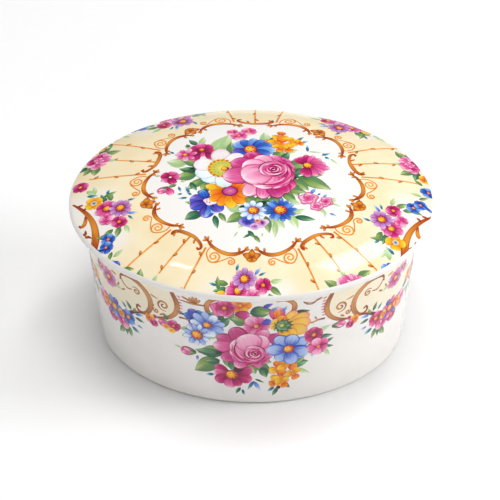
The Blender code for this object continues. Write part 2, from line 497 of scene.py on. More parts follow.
def turned(name, outline, materials, material_of):
    """Turns an outline about Z, presses it to the oval, and gives each face its material."""
    mesh = bpy.data.meshes.new(name)
    edges = [(i, i + 1) for i in range(len(outline) - 1)]
    mesh.from_pydata([(x * MM, 0.0, z * MM) for x, z in outline], edges, [])
    obj = bpy.data.objects.new(name, mesh)
    bpy.context.scene.collection.objects.link(obj)
    screw = obj.modifiers.new("turn", "SCREW")
    screw.axis = "Z"
    screw.steps = screw.render_steps = bpy.context.scene.trinket_sizes.turn_steps
    screw.use_merge_vertices = True
    screw.merge_threshold = 1e-6
    for other in bpy.context.selected_objects:
        other.select_set(False)
    bpy.context.view_layer.objects.active = obj
    obj.select_set(True)
    bpy.ops.object.convert(target="MESH")
    obj.scale = (1.0, OVAL, 1.0)
    bpy.ops.object.transform_apply(location=False, rotation=False, scale=True)
    for material in materials:
        obj.data.materials.append(material)
    for face in obj.data.polygons:
        face.material_index = material_of(face.center / MM, face.normal)
    obj.data.shade_smooth()
    obj.data.set_sharp_from_angle(angle=math.radians(50))
    return obj


# ---------------------------------------------------------------- the faces that carry enamel


class Face:
    """A decorated surface: wraps flat drawings onto the porcelain, and knows how thick enamel lies."""

    def __init__(self):
        self.relief = {}

    def lift(self, flat, inside):
        """Height for a new flake: just over everything that it overlaps."""
        cells = {tuple(cell) for cell in np.round(flat[inside] / RELIEF_CELL).astype(int)}
        near = {(x + i, y + j) for x, y in cells for i in (-1, 0, 1) for j in (-1, 0, 1)}
        layer = 1 + max((self.relief.get(cell, 0) for cell in near), default=0)
        for cell in cells:
            self.relief[cell] = layer
        return ENAMEL_FIRST + ENAMEL_STEP * layer


class LidFace(Face):
    """The dome, drawn on in plan."""

    limit = DOME_EDGE * 0.999

    def clip(self, flat):
        """Pulls points past the dome's edge back to it, and says which ones were inside."""
        reach = np.hypot(flat[:, 0], flat[:, 1] / OVAL)
        inside = reach < self.limit
        shrink = np.where(inside, 1.0, self.limit / np.maximum(reach, 1.0))
        return flat * shrink[:, None], inside

    def on(self, flat, height):
        """Points on the dome, raised by a height along its normal."""
        x, y = flat[:, 0], flat[:, 1]
        reach = np.maximum(np.hypot(x, y / OVAL), 1e-6)
        share = reach / DOME_EDGE
        left = 1.0 - share**DOME_POWER
        z = DOME_BASE + DOME_RISE * left ** (1 / DOME_ROOT)
        fall = left ** (1 / DOME_ROOT - 1) * share ** (DOME_POWER - 1)
        slope = DOME_RISE / DOME_EDGE * DOME_POWER / DOME_ROOT * fall
        normal = np.stack([slope * x / reach, slope * y / (OVAL**2 * reach), np.ones_like(x)], 1)
        normal /= np.linalg.norm(normal, axis=1)[:, None]
        return (np.stack([x, y, z], 1) + normal * height) * MM


class WallFace(Face):
    """The base's outer wall, drawn on unrolled: along the mouth from the front's middle, and up."""

    low = 2.0
    high = LIP - 1.6
    table_steps = 2000

    def __init__(self):
        super().__init__()
        self.angles = np.linspace(-math.pi / 2, 1.5 * math.pi, self.table_steps + 1)
        x, y = MOUTH * np.cos(self.angles), OVAL * MOUTH * np.sin(self.angles)
        self.lengths = np.concatenate([[0.0], np.cumsum(np.hypot(np.diff(x), np.diff(y)))])
        self.round = self.lengths[-1]

    def clip(self, flat):
        """Holds points between the wall's edges, and counts their length round it from one place."""
        inside = (flat[:, 1] > self.low) & (flat[:, 1] < self.high)
        left_end = -self.round / 4
        along = (flat[:, 0] - left_end) % self.round + left_end
        return np.stack([along, np.clip(flat[:, 1], self.low, self.high)], 1), inside

    def on(self, flat, height):
        """Points on the wall, raised by a height along its normal."""
        angle = np.interp((flat[:, 0] + WALL_SHIFT) % self.round, self.lengths, self.angles)
        z = flat[:, 1]
        radius = wall_radius(z)
        slope = (MOUTH - FOOT) / LIP
        normal = np.stack([np.cos(angle), np.sin(angle) / OVAL, np.full_like(z, -slope)], 1)
        normal /= np.linalg.norm(normal, axis=1)[:, None]
        place = np.stack([radius * np.cos(angle), OVAL * radius * np.sin(angle), z], 1)
        return (place + normal * height) * MM


LID_FACE = LidFace()
WALL_FACE = WallFace()


# ---------------------------------------------------------------- brush marks


def polar(reach, angle):
    """A point of the lid's border, from its reach and its angle from the repeat's shell in degrees."""
    turn = math.radians(angle)
    return (reach * math.sin(turn), -reach * math.cos(turn))


def border_path(*places, side=1):
    """Points of the lid's border, from pairs of reach and angle; side -1 goes round the other way."""
    return [polar(reach, side * angle) for reach, angle in places]


def smooth_path(points, spacing=0.45):
    """A smooth curve through the points, as closely spaced points, with each one's share of the way."""
    points = np.array(points, float)
    if len(points) == 2:
        count = max(3, int(np.linalg.norm(points[1] - points[0]) / spacing / 2))
        shares = np.linspace(0, 1, count + 1)
        return points[0] + (points[1] - points[0]) * shares[:, None], shares
    ends = np.vstack([2 * points[0] - points[1], points, 2 * points[-1] - points[-2]])
    path, shares = [], []
    spans = len(points) - 1
    for i in range(spans):
        a, b, c, d = ends[i : i + 4]
        count = max(2, int(np.linalg.norm(c - b) / spacing))
        for t in np.arange(count) / count:
            bend = (2 * a - 5 * b + 4 * c - d) * t**2
            twist = (3 * b - a - 3 * c + d) * t**3
            path.append(0.5 * (2 * b + (c - a) * t + bend + twist))
            shares.append((i + t) / spans)
    path.append(points[-1])
    shares.append(1.0)
    return np.array(path), np.array(shares)


def spiral(x, y, radius, turns, start, hand=1):
    """Points that wind inwards from the given direction; hand is 1 for anticlockwise."""
    count = max(8, int(turns * 14))
    points = []
    for i in range(count + 1):
        share = i / count
        angle = math.radians(start + hand * 360 * turns * share)
        reach = radius * (1 - 0.86 * share**0.85)
        points.append((x + reach * math.cos(angle), y + reach * math.sin(angle)))
    return points


def petal_width(share):
    """A petal: narrow root, broad shoulder, round tip."""
    shoulder = 0.6
    root = 0.30 + 0.70 * np.sin(np.pi / 2 * np.minimum(share / shoulder, 1.0))
    tip = np.sqrt(np.maximum(0.0, 1.0 - (np.maximum(share - shoulder, 0.0) / (1 - shoulder)) ** 2))
    return root * np.maximum(tip, 0.03)


def leaf_width(share):
    """A leaf: drawn to a point at both ends, broadest nearer its root."""
    return np.maximum(np.sin(np.pi * share**0.8) ** 0.9, 0.02)


class Painting:
    """One piece of decoration: flakes of enamel drawn flat, and laid on a face at the end."""

    def __init__(self, name, face, seed):
        self.name = name
        self.face = face
        self.chance = random.Random(seed)
        self.pigments = []
        self.points, self.faces, self.corners, self.tones, self.slots = [], [], [], [], []
        self.move(0.0, 0.0)

    def move(self, x, y, turn=0.0, mirror=False, size=1.0):
        """Draws later marks from here, turned by some degrees, and maybe mirrored left to right."""
        c, s = math.cos(math.radians(turn)), math.sin(math.radians(turn))
        self.matrix = np.array([[c, -s], [s, c]]) @ np.diag([-size if mirror else size, size])
        self.shift = np.array([x, y], float)

    def flake(self, flat, faces, uv, pigment):
        """One mark: a thin plate on the glaze whose edge turns down into it."""
        flat, inside = self.face.clip(np.asarray(flat, float) @ self.matrix.T + self.shift)
        faces = [face for face in faces if any(inside[i] for i in face)]
        if not faces:
            return
        if np.linalg.det(self.matrix) < 0:
            faces = [face[::-1] for face in faces]
        top = self.face.on(flat, self.face.lift(flat, inside))
        sunk = self.face.on(flat, -ENAMEL_SUNK)
        open_edges = {}
        for face in faces:
            for a, b in zip(face, face[1:] + face[:1]):
                if (b, a) in open_edges:
                    del open_edges[(b, a)]
                else:
                    open_edges[(a, b)] = True
        used = sorted({i for face in faces for i in face})
        rim = sorted({i for edge in open_edges for i in edge})
        first = len(self.points)
        at = {i: first + n for n, i in enumerate(used)}
        below = {i: first + len(used) + n for n, i in enumerate(rim)}
        self.points += [top[i] for i in used] + [sunk[i] for i in rim]
        tone = self.chance.random()
        self.tones += [tone] * (len(used) + len(rim))
        if pigment not in self.pigments:
            self.pigments.append(pigment)
        slot = self.pigments.index(pigment)
        for face in faces:
            self.faces.append([at[i] for i in face])
            self.corners += [uv[i] for i in face]
        for a, b in open_edges:
            self.faces.append([at[b], at[a], below[a], below[b]])
            self.corners += [uv[b], uv[a], uv[a], uv[b]]
        self.slots += [slot] * (len(faces) + len(open_edges))

    def sheet(self, flat, pigment):
        """A mark given as rows of points along it, each row running from its right side to its left."""
        rows, columns = flat.shape[:2]
        uv = [(i / (rows - 1), j / (columns - 1)) for i in range(rows) for j in range(columns)]
        faces = []
        for i in range(rows - 1):
            for j in range(columns - 1):
                a = i * columns + j
                faces.append([a, a + columns, a + columns + 1, a + 1])
        self.flake(flat.reshape(-1, 2), faces, uv, pigment)

    def petal(
        self, x, y, angle, length, width, pigment, start=0.0, bend=0.0, notch=0.0, shape=petal_width,
    ):
        """A petal or leaf outwards from (x, y); bend pushes its tip sideways by a share of its length."""
        rows = max(4, min(12, int(length / 0.6)))
        columns = 3 if width < 1.2 else 5 if width < 3.5 else 7
        share = np.arange(rows + 1) / rows
        if shape is petal_width:
            share = np.sin(np.pi / 2 * share)
        across = np.linspace(0, 1, columns + 1)
        t, v = np.meshgrid(share, across, indexing="ij")
        dent = 1 - notch * (1 - np.abs(2 * v - 1)) ** 2 * t**2
        forward = start + length * t * dent
        sideways = (2 * v - 1) * width / 2 * shape(t) + bend * length * t**2
        c, s = math.cos(math.radians(angle)), math.sin(math.radians(angle))
        flat = np.stack([x + forward * c - sideways * s, y + forward * s + sideways * c], 2)
        self.sheet(flat, pigment)

    def petals(self, x, y, rows, stretch=1.0, **more):
        """Petals round one point, given as (angle, length, width, pigment)."""
        for angle, length, width, pigment in rows:
            self.petal(x, y, angle, length * stretch, width, pigment, **more)

    def leaves(self, rows):
        """Leaves given as (x, y, angle, length, width, pigment)."""
        for x, y, angle, length, width, pigment in rows:
            bend = self.chance.uniform(-0.12, 0.12)
            self.petal(x, y, angle, length, width, pigment, bend=bend, shape=leaf_width)

    def disc(self, x, y, radius, pigment, squash=1.0, angle=0.0, lobes=0, depth=0.12):
        """A round dab; lobes make its edge wavy."""
        rings = max(1, int(radius / 0.7))
        spokes = max(9, int(math.tau * radius / 0.6), lobes * 6)
        c, s = math.cos(math.radians(angle)), math.sin(math.radians(angle))
        flat, uv, faces = [(x, y)], [(0.0, 0.5)], []
        for ring in range(1, rings + 1):
            for spoke in range(spokes):
                turn = math.tau * spoke / spokes
                wave = depth * math.cos(lobes * turn) * ring / rings if lobes else 0.0
                reach = radius * ring / rings * (1 + wave)
                a, b = reach * math.cos(turn), reach * math.sin(turn) * squash
                flat.append((x + a * c - b * s, y + a * s + b * c))
                uv.append((ring / rings, 0.5 + 0.3 * math.cos(turn)))
        for spoke in range(spokes):
            faces.append([0, 1 + spoke, 1 + (spoke + 1) % spokes])
            for ring in range(rings - 1):
                a, b = 1 + ring * spokes + spoke, 1 + ring * spokes + (spoke + 1) % spokes
                faces.append([a, a + spokes, b + spokes, b])
        self.flake(flat, faces, uv, pigment)

    def stroke(self, points, widths, pigment, spacing=0.45):
        """A brushed line through the points, as wide as the widths say along it."""
        path, shares = smooth_path(points, spacing)
        wide = np.interp(shares, np.linspace(0, 1, len(widths)), widths)
        ahead = np.gradient(path, axis=0)
        ahead /= np.maximum(np.linalg.norm(ahead, axis=1), 1e-9)[:, None]
        side = np.stack([-ahead[:, 1], ahead[:, 0]], 1) * wide[:, None] / 2
        self.sheet(np.stack([path - side, path, path + side], 1), pigment)

    def ring(self, x, y, radius, start, end, width, pigment, squash=1.0, angle=0.0):
        """A crescent: part of a circle, thin at both ends."""
        c, s = math.cos(math.radians(angle)), math.sin(math.radians(angle))
        count = max(5, int(abs(math.radians(end - start)) * radius / 1.2))
        points = []
        for turn in np.radians(np.linspace(start, end, count)):
            a, b = radius * math.cos(turn), radius * math.sin(turn) * squash
            points.append((x + a * c - b * s, y + a * s + b * c))
        self.stroke(points, (0.05, width * 0.8, width, width * 0.8, 0.05), pigment)

    def eye(self, x, y, radius, pigment="amber", ring="shadow", squash=0.9):
        """A flower's centre: a thin dark edge, a bright boss lit from one side, and a few stamens."""
        self.disc(x + 0.05 * radius, y - 0.05 * radius, radius * 1.14, ring, squash, 20, 7, 0.05)
        self.disc(x, y, radius, pigment, squash)
        if radius > 0.8:
            self.disc(x - radius * 0.35, y + radius * 0.22, radius * 0.46, "yellow", squash, 20)
            for turn in (-80, -35, 10, 55):
                angle = math.radians(turn)
                self.disc(
                    x + radius * 0.78 * math.cos(angle), y + radius * 0.7 * math.sin(angle),
                    radius * 0.15, ring,
                )

    def flower(self, x, y, radius, count, pigment, turn=0.0, broad=1.0, heart=0.27, eye="amber", **more):
        """Petals round a centre; each differs a little. A list of pigments is used in turn."""
        pigments = pigment if isinstance(pigment, (list, tuple)) else [pigment]
        squash, notch = more.get("squash", 1.0), more.get("notch", 0.0)
        start = radius * 0.12
        width = math.tau * radius * 0.62 / count * broad * 1.15
        order = sorted(range(count), key=lambda i: (i % 2, i))
        for i in order:
            angle = turn + 360 * i / count + self.chance.uniform(-4, 4)
            flat = math.hypot(math.cos(math.radians(angle)), squash * math.sin(math.radians(angle)))
            length = radius * self.chance.uniform(0.92, 1.06) * flat - start
            self.petal(
                x, y, angle, length, width * self.chance.uniform(0.92, 1.08),
                pigments[i % len(pigments)], start, notch=notch,
            )
        if eye:
            self.eye(x, y, radius * heart, eye, more.get("ring", "shadow"), squash)

    def dots(self, x, y, radius, count, size, pigment, squash=1.0):
        """Dabs in a ring, such as stamens."""
        for i in range(count):
            turn = math.tau * i / count
            self.disc(x + radius * math.cos(turn), y + radius * squash * math.sin(turn), size, pigment)

    def lay(self, body, slot):
        """Makes the mesh object, gives it its enamels, and fixes it to a body."""
        mesh = bpy.data.meshes.new(self.name)
        mesh.from_pydata(self.points, [], self.faces)
        layer = mesh.uv_layers.new(name="brush")
        layer.data.foreach_set("uv", np.array(self.corners, np.float32).ravel())
        tone = mesh.attributes.new("tone", "FLOAT", "POINT")
        tone.data.foreach_set("value", np.array(self.tones, np.float32))
        mesh.polygons.foreach_set("material_index", np.array(self.slots, np.int32))
        for pigment in self.pigments:
            mesh.materials.append(finish_of(pigment))
        mesh.shade_smooth()
        mesh.set_sharp_from_angle(angle=math.radians(40))
        mesh.validate()
        obj = bpy.data.objects.new(self.name, mesh)
        bpy.context.scene.collection.objects.link(obj)
        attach(obj, body)
        return obj


# ---------------------------------------------------------------- flowers drawn more than once


def big_rose(art, x, y, r, guards, turn=0.0):
    """A full rose: guard petals, a dark bowl, and a swirled heart whose pale cup leans the other way."""
    squash, heart_squash = 0.96, 0.9
    art.petals(x, y, guards, start=r * 0.3)
    art.disc(x, y, r, "carmine", squash, 15, 7, 0.03)
    reach, lean = r * 0.27, math.radians(turn + 36)
    heart_x, heart_y = x + reach * math.cos(lean), y + reach * math.sin(lean)
    for angle, length, width, pigment, bend in (
        (62, 0.84, 0.86, "deep", -0.10), (100, 0.88, 0.80, "rose", -0.12),
        (28, 0.78, 0.84, "carmine", -0.10), (-8, 0.76, 0.80, "deep", -0.10),
        (-40, 0.92, 0.86, "carmine", -0.08), (-66, 1.06, 0.90, "deep", -0.06),
        (136, 0.98, 0.90, "cup", -0.12), (-92, 1.12, 0.96, "rose", 0.05),
        (172, 1.16, 1.04, "cup", -0.06), (-122, 1.22, 1.16, "cup", 0.06),
        (-154, 1.24, 1.30, "cup", 0.0),
    ):
        art.petal(heart_x, heart_y, turn + angle, length * r, width * r, pigment, bend=bend)
    for reach, start, end, width, pigment in (
        (0.90, 256, 345, 0.08, "rose"), (0.80, 236, 385, 0.12, "carmine"),
        (0.69, 256, 335, 0.07, "cup"), (0.86, 0, 80, 0.10, "deep"), (0.76, 350, 400, 0.07, "cup"),
    ):
        art.ring(x + 0.03 * r, y, r * reach, turn + start, turn + end, r * width, pigment, squash)
    art.disc(heart_x, heart_y, r * 0.52, "carmine", 0.92, turn + 10, 5, 0.06)
    for reach, start, end, width, pigment in (
        (0.48, 95, 235, 0.11, "cup"), (0.47, 250, 395, 0.08, "rose"), (0.39, 20, 150, 0.10, "rose"),
        (0.35, 170, 330, 0.10, "cup"), (0.28, 310, 450, 0.08, "cup"), (0.23, 100, 250, 0.08, "rose"),
        (0.18, 230, 400, 0.07, "cup"), (0.12, 20, 200, 0.06, "rose"), (0.05, 180, 400, 0.05, "cup"),
    ):
        art.ring(heart_x, heart_y, r * reach, turn + start, turn + end, r * width, pigment, heart_squash)
    for reach, start, end in ((0.53, 90, 200), (0.43, 255, 350), (0.33, 30, 120), (0.24, 260, 330)):
        art.ring(heart_x, heart_y, r * reach, turn + start, turn + end, r * 0.05, "shadow", heart_squash)


def blossom(art, x, y, r, pigment="carmine", turn=0.0, eye="amber", count=5):
    """A small five-petalled blossom."""
    art.flower(x, y, r, count, pigment, turn, broad=1.12, heart=0.24, eye=eye)


def bell_cluster(art, rows):
    """Yellow and orange bells in a bunch, given as (x, y, size, turn)."""
    for x, y, size, turn in rows:
        for i, pigment in enumerate(("orange", "yellow", "yellow")):
            angle = turn + 120 * i + art.chance.uniform(-12, 12)
            art.petal(x, y, angle, size * 1.3, size * 1.45, pigment, start=size * 0.08)
        art.disc(x, y, size * 0.24, "orange")


def bud(art, x, y, angle, length, width):
    """A closed bud with a green cup at its root."""
    art.petal(x, y, angle, length, width, "carmine")
    art.petal(x, y, angle + 6, length * 0.92, width * 0.62, "rose", bend=0.05)
    art.petal(x, y, angle - 10, length * 0.8, width * 0.34, "cup", bend=-0.06)
    art.petal(x, y, angle + 24, length * 0.6, width * 0.3, "leaf", shape=leaf_width)
    art.petal(x, y, angle - 24, length * 0.55, width * 0.3, "sage", shape=leaf_width)


# ---------------------------------------------------------------- the lid's border


def each_repeat(art, mirrored=(), slip=0.0):
    """Moves the brush to each of the border's repeats, some mirrored; slip turns them all, in degrees."""
    for i in range(REPEATS):
        art.move(DECAL_X, DECAL_Y, DECAL_TURN + slip + 360 / REPEATS * i, i in mirrored)
        yield i


def leafy_end(art, x, y, angle, length, spread=34):
    """Three little leaves that finish a scroll; the angle is the way the scroll was going."""
    for lean, share in ((-spread, 0.85), (spread, 0.8), (0, 1.0)):
        art.petal(
            x, y, angle + lean, length * share, length * 0.42, "scroll",
            bend=0.15 if lean > 0 else -0.15,
        )


def panel_scrolls():
    """The white panel's frame: a shell, a leafy lobe on each side of it, and an arch to the next one."""
    art = Painting("lid_panel_scrolls", LID_FACE, 11)
    for _ in each_repeat(art):
        for side in (1, -1):
            lobe = border_path(
                (31.1, 3.8), (31.9, 5.6), (32.8, 9), (33.0, 13), (32.4, 18), (31.3, 22.5), (30.0, 25.8),
                side=side,
            )
            art.stroke(lobe, (0.7, 1.1, 1.4, 1.35, 1.2, 1.0, 0.6), "scroll")
            for r, a, turn, length in (
                (31.2, 4.0, 118, 1.9), (31.2, 4.0, 152, 1.6), (31.9, 6.6, 84, 1.7),
                (31.0, 23.6, 100, 1.6),
            ):
                art.petal(
                    *polar(r, side * a), turn if side > 0 else 180 - turn, length, 0.85, "scroll",
                    bend=0.12 * side,
                )
            leafy_end(art, *polar(30.1, side * 25.6), 52 if side > 0 else 128, 2.0)
        arch = border_path(
            (33.6, 27.6), (33.2, 26.7), (32.2, 26.9), (31.2, 29.5), (30.7, 33.5), (30.6, 37.5),
            (31.3, 41.6), (32.4, 44.4), (33.4, 45.2), (34.1, 44.2), (33.6, 43.2),
        )
        art.stroke(arch, (0.9, 0.8, 1.0, 1.25, 1.3, 1.15, 1.0, 0.95, 0.85, 0.8, 0.5), "scroll")
        for r, a, turn in ((31.6, 29.2, -112), (31.2, 39.6, -44), (32.4, 27.4, -40)):
            art.petal(*polar(r, a), turn, 1.7, 0.75, "scroll", bend=0.15)
        shell(art)
    return art


def shell(art):
    """The three-pointed leaf between two lobes."""
    x, y = polar(33.4, 0)
    for turn, length, width, shape in (
        (-90, 1.9, 2.6, petal_width), (-140, 1.9, 2.0, petal_width), (-40, 1.9, 2.0, petal_width),
        (158, 3.0, 2.3, leaf_width), (22, 3.0, 2.3, leaf_width), (90, 3.0, 2.1, leaf_width),
    ):
        art.petal(x, y, turn, length, width, "scroll", shape=shape)


def spirals_and_rays():
    """Fine ochre line work outside the frame: two joined spirals on each side, and three thorned rays."""
    art = Painting("lid_spirals_and_rays", LID_FACE, 12)
    for _ in each_repeat(art):
        for side in (1, -1):
            big = polar(34.9, side * 18.6)
            small = polar(35.6, side * 9.8)
            start = -80 if side > 0 else 260
            lead = border_path((31.7, 20.6), (32.4, 22.6), (34.6, 22.6), (36.6, 20.2), side=side)
            whirl = spiral(*big, 2.05, 1.6, start + side * 6, -side)
            art.stroke(lead + whirl, (0.3, 0.5, 0.52, 0.52, 0.5, 0.46, 0.42), "line", 0.4)
            join = [polar(36.9, side * 17.0), polar(35.4, side * 13.6), polar(34.2, side * 11.0)]
            curl = spiral(*small, 1.25, 1.5, 100 if side > 0 else 80, side)
            art.stroke(join + curl, (0.3, 0.5, 0.5, 0.46, 0.4), "line", 0.4)
        for angle, first, last, thorns in (
            (24.6, 32.6, 50.0, (39.5, 45.0)), (36.0, 30.9, 46.2, (34.2, 39.6, 45.0)),
            (47.4, 32.6, 50.0, (36.0, 42.4, 48.6)),
        ):
            art.stroke(
                [polar(first, angle), polar((first + last) / 2, angle + 0.15), polar(last, angle)],
                (0.62, 0.54, 0.5, 0.55), "line", 1.0,
            )
            for n, reach in enumerate(thorns):
                lean = 30 if (n + (angle > 30)) % 2 else -30
                art.petal(*polar(reach, angle), angle + 90 + lean, 1.7, 0.85, "scroll", bend=0.1)
    return art


def end_scrolls():
    """The thick scroll that arches over each spray, and runs off the edge at both ends of the oval."""
    art = Painting("lid_end_scrolls", LID_FACE, 13)
    for _ in each_repeat(art, mirrored=(REPEATS - 1,), slip=END_SCROLL_SLIP):
        outer = border_path(
            (55.6, -14.5), (53.0, -11.6), (51.1, -8.4), (50.0, -4.0), (49.9, 0.0), (50.7, 4.2),
            (52.2, 7.8), (54.3, 11.2),
        )
        art.stroke(outer, (1.9, 2.5, 2.4, 2.0, 1.7, 1.4, 1.1, 0.5), "scroll", 0.8)
        shade = border_path((55.2, -14.4), (53.1, -12.2), (51.7, -9.6), (51.0, -6.4))
        art.stroke(shade, (0.5, 1.1, 0.8, 0.1), "rust", 0.8)
        inner = border_path((51.2, 3.4), (51.6, 1.2), (52.4, -0.4), (53.4, -0.6), (53.8, 0.4))
        art.stroke(inner, (0.5, 1.2, 1.4, 1.1, 0.4), "scroll", 0.6)
        curl = border_path((52.0, -7.4), (52.8, -6.0), (53.8, -5.8), (54.2, -7.0))
        art.stroke(curl, (0.2, 1.0, 0.9, 0.3), "rust", 0.6)
        for r, a, turn, length in (
            (53.0, -4.0, -110, 2.4), (54.0, -8.8, -60, 2.2), (52.6, -3.0, -170, 2.2),
            (51.5, 6.4, 60, 1.8), (53.0, 9.4, 100, 1.8),
        ):
            art.petal(*polar(r, a), turn, length, 0.9, "rust", bend=0.1)
    return art


def border_sprays():
    """The spray at each shell: daisies, blossoms, a yellow and a blue flower, and leaves between."""
    art = Painting("lid_border_sprays", LID_FACE, 14)
    for _ in each_repeat(art):
        art.leaves([
            (*polar(43.0, -9.0), -190, 4.2, 1.9, "leaf"), (*polar(44.5, -8.6), -178, 4.6, 1.8, "sage"),
            (*polar(43.5, 7.0), -30, 4.2, 1.9, "leaf"), (*polar(42.0, 7.4), 10, 3.8, 1.6, "wash"),
            (*polar(45.5, 6.6), -62, 4.0, 1.8, "leaf"), (*polar(46.8, 8.6), -92, 4.6, 1.7, "sage"),
            (*polar(46.6, 10.4), -60, 4.0, 1.5, "leaf"), (*polar(49.6, 15.6), -40, 3.4, 1.3, "leaf"),
            (*polar(39.6, 1.4), 60, 3.2, 1.0, "sky"), (*polar(39.8, 3.0), 30, 2.6, 0.8, "teal"),
            (*polar(44.0, -13.4), 150, 2.4, 0.9, "teal"), (*polar(45.0, -12.2), 100, 4.2, 1.5, "leaf"),
            (*polar(47.5, -15.0), 170, 4.0, 1.5, "wash"), (*polar(38.4, -6.6), 80, 2.6, 0.9, "teal"),
        ])
        art.flower(
            *polar(48.0, -10.2), 3.0, 4, "yellow", 20, broad=0.95, heart=0.3, eye="sky", ring="yellow",
        )
        art.disc(*polar(48.0, -10.2), 0.45, "cobalt")
        for reach, angle, size in ((48.3, 10.0, 2.3), (50.2, 12.6, 2.2)):
            art.flower(*polar(reach, angle), size, 5, ["cobalt", "sky"], 30 * size, broad=1.1, heart=0.22)
        art.petal(*polar(50.5, 13.4), -110, 4.2, 1.0, "cobalt")
        art.flower(*polar(44.7, -5.0), 3.7, 7, ["rose", "carmine", "rose"], 15, broad=1.15, heart=0.30)
        art.flower(*polar(40.9, -2.8), 3.7, 9, "lilac", 8, broad=1.05, heart=0.34)
        blossom(art, *polar(42.9, 4.6), 2.5, ["carmine", "rose"], 54)
        art.flower(*polar(46.0, 0.6), 2.3, 5, ["rose", "cup"], 12, broad=1.1, heart=0.18, eye=None)
        art.disc(*polar(46.0, 0.6), 0.5, "carmine")
    return art


def border_roses():
    """A rose with leaves midway between the sprays, and the small clusters beside the end scrolls."""
    art = Painting("lid_border_roses", LID_FACE, 15)
    for i in each_repeat(art):
        # the one at the front left was trimmed off nearly whole when the transfer was cut to the edge
        x, y = polar(52.4 if i == REPEATS - 1 else 49.5, 36.0)
        art.leaves([
            (x - 2.8, y - 2.0, 150, 5.4, 2.8, "leaf"), (x - 2.2, y - 3.4, 185, 5.0, 2.6, "sage"),
            (x + 2.4, y + 2.2, 52, 4.8, 3.0, "leaf"), (x + 3.2, y + 1.2, 16, 4.6, 2.4, "leaf"),
            (x - 1.6, y + 2.0, 118, 3.2, 1.3, "wash"), (x + 4.0, y, -10, 4.0, 2.0, "sage"),
        ])
        rows = (
            (36, 4.9, 3.8, "rose"), (0, 4.2, 3.6, "cup"), (72, 3.7, 3.6, "rose"),
            (110, 3.4, 3.6, "cup"), (216, 4.9, 3.8, "rose"), (180, 4.2, 3.8, "cup"),
            (150, 3.6, 3.8, "rose"), (250, 3.6, 3.6, "carmine"), (290, 3.4, 3.6, "rose"),
            (325, 3.8, 3.4, "carmine"),
        )
        art.petals(x, y, rows)
        art.disc(x, y, 1.7, "carmine", 0.8, 36, 5, 0.08)
        for turn in (10, 100, 190, 280):
            art.petal(x, y, turn, 1.6, 1.1, "cup", bend=0.4)
        blossom(art, *polar(52.2, -21.0), 2.6, ["cobalt", "sky"] if i == 1 else ["carmine", "rose"], 10)
        art.flower(*polar(52.6, 20.6), 2.6, 5, ["sky", "cobalt"], 30, broad=1.1, heart=0.2)
        art.flower(*polar(52.6, 28.0), 2.2, 5, ["orange", "yellow"], 10, broad=1.1, heart=0.2)
        art.leaves([
            (*polar(50.4, 17.6), 100, 3.6, 1.4, "wash"), (*polar(51.0, 23.8), 60, 3.6, 1.4, "leaf"),
            (*polar(50.2, -18.0), 30, 4.4, 1.8, "wash"), (*polar(50.0, -15.0), 60, 3.4, 1.2, "teal"),
        ])
    return art


# ---------------------------------------------------------------- the lid's bouquet


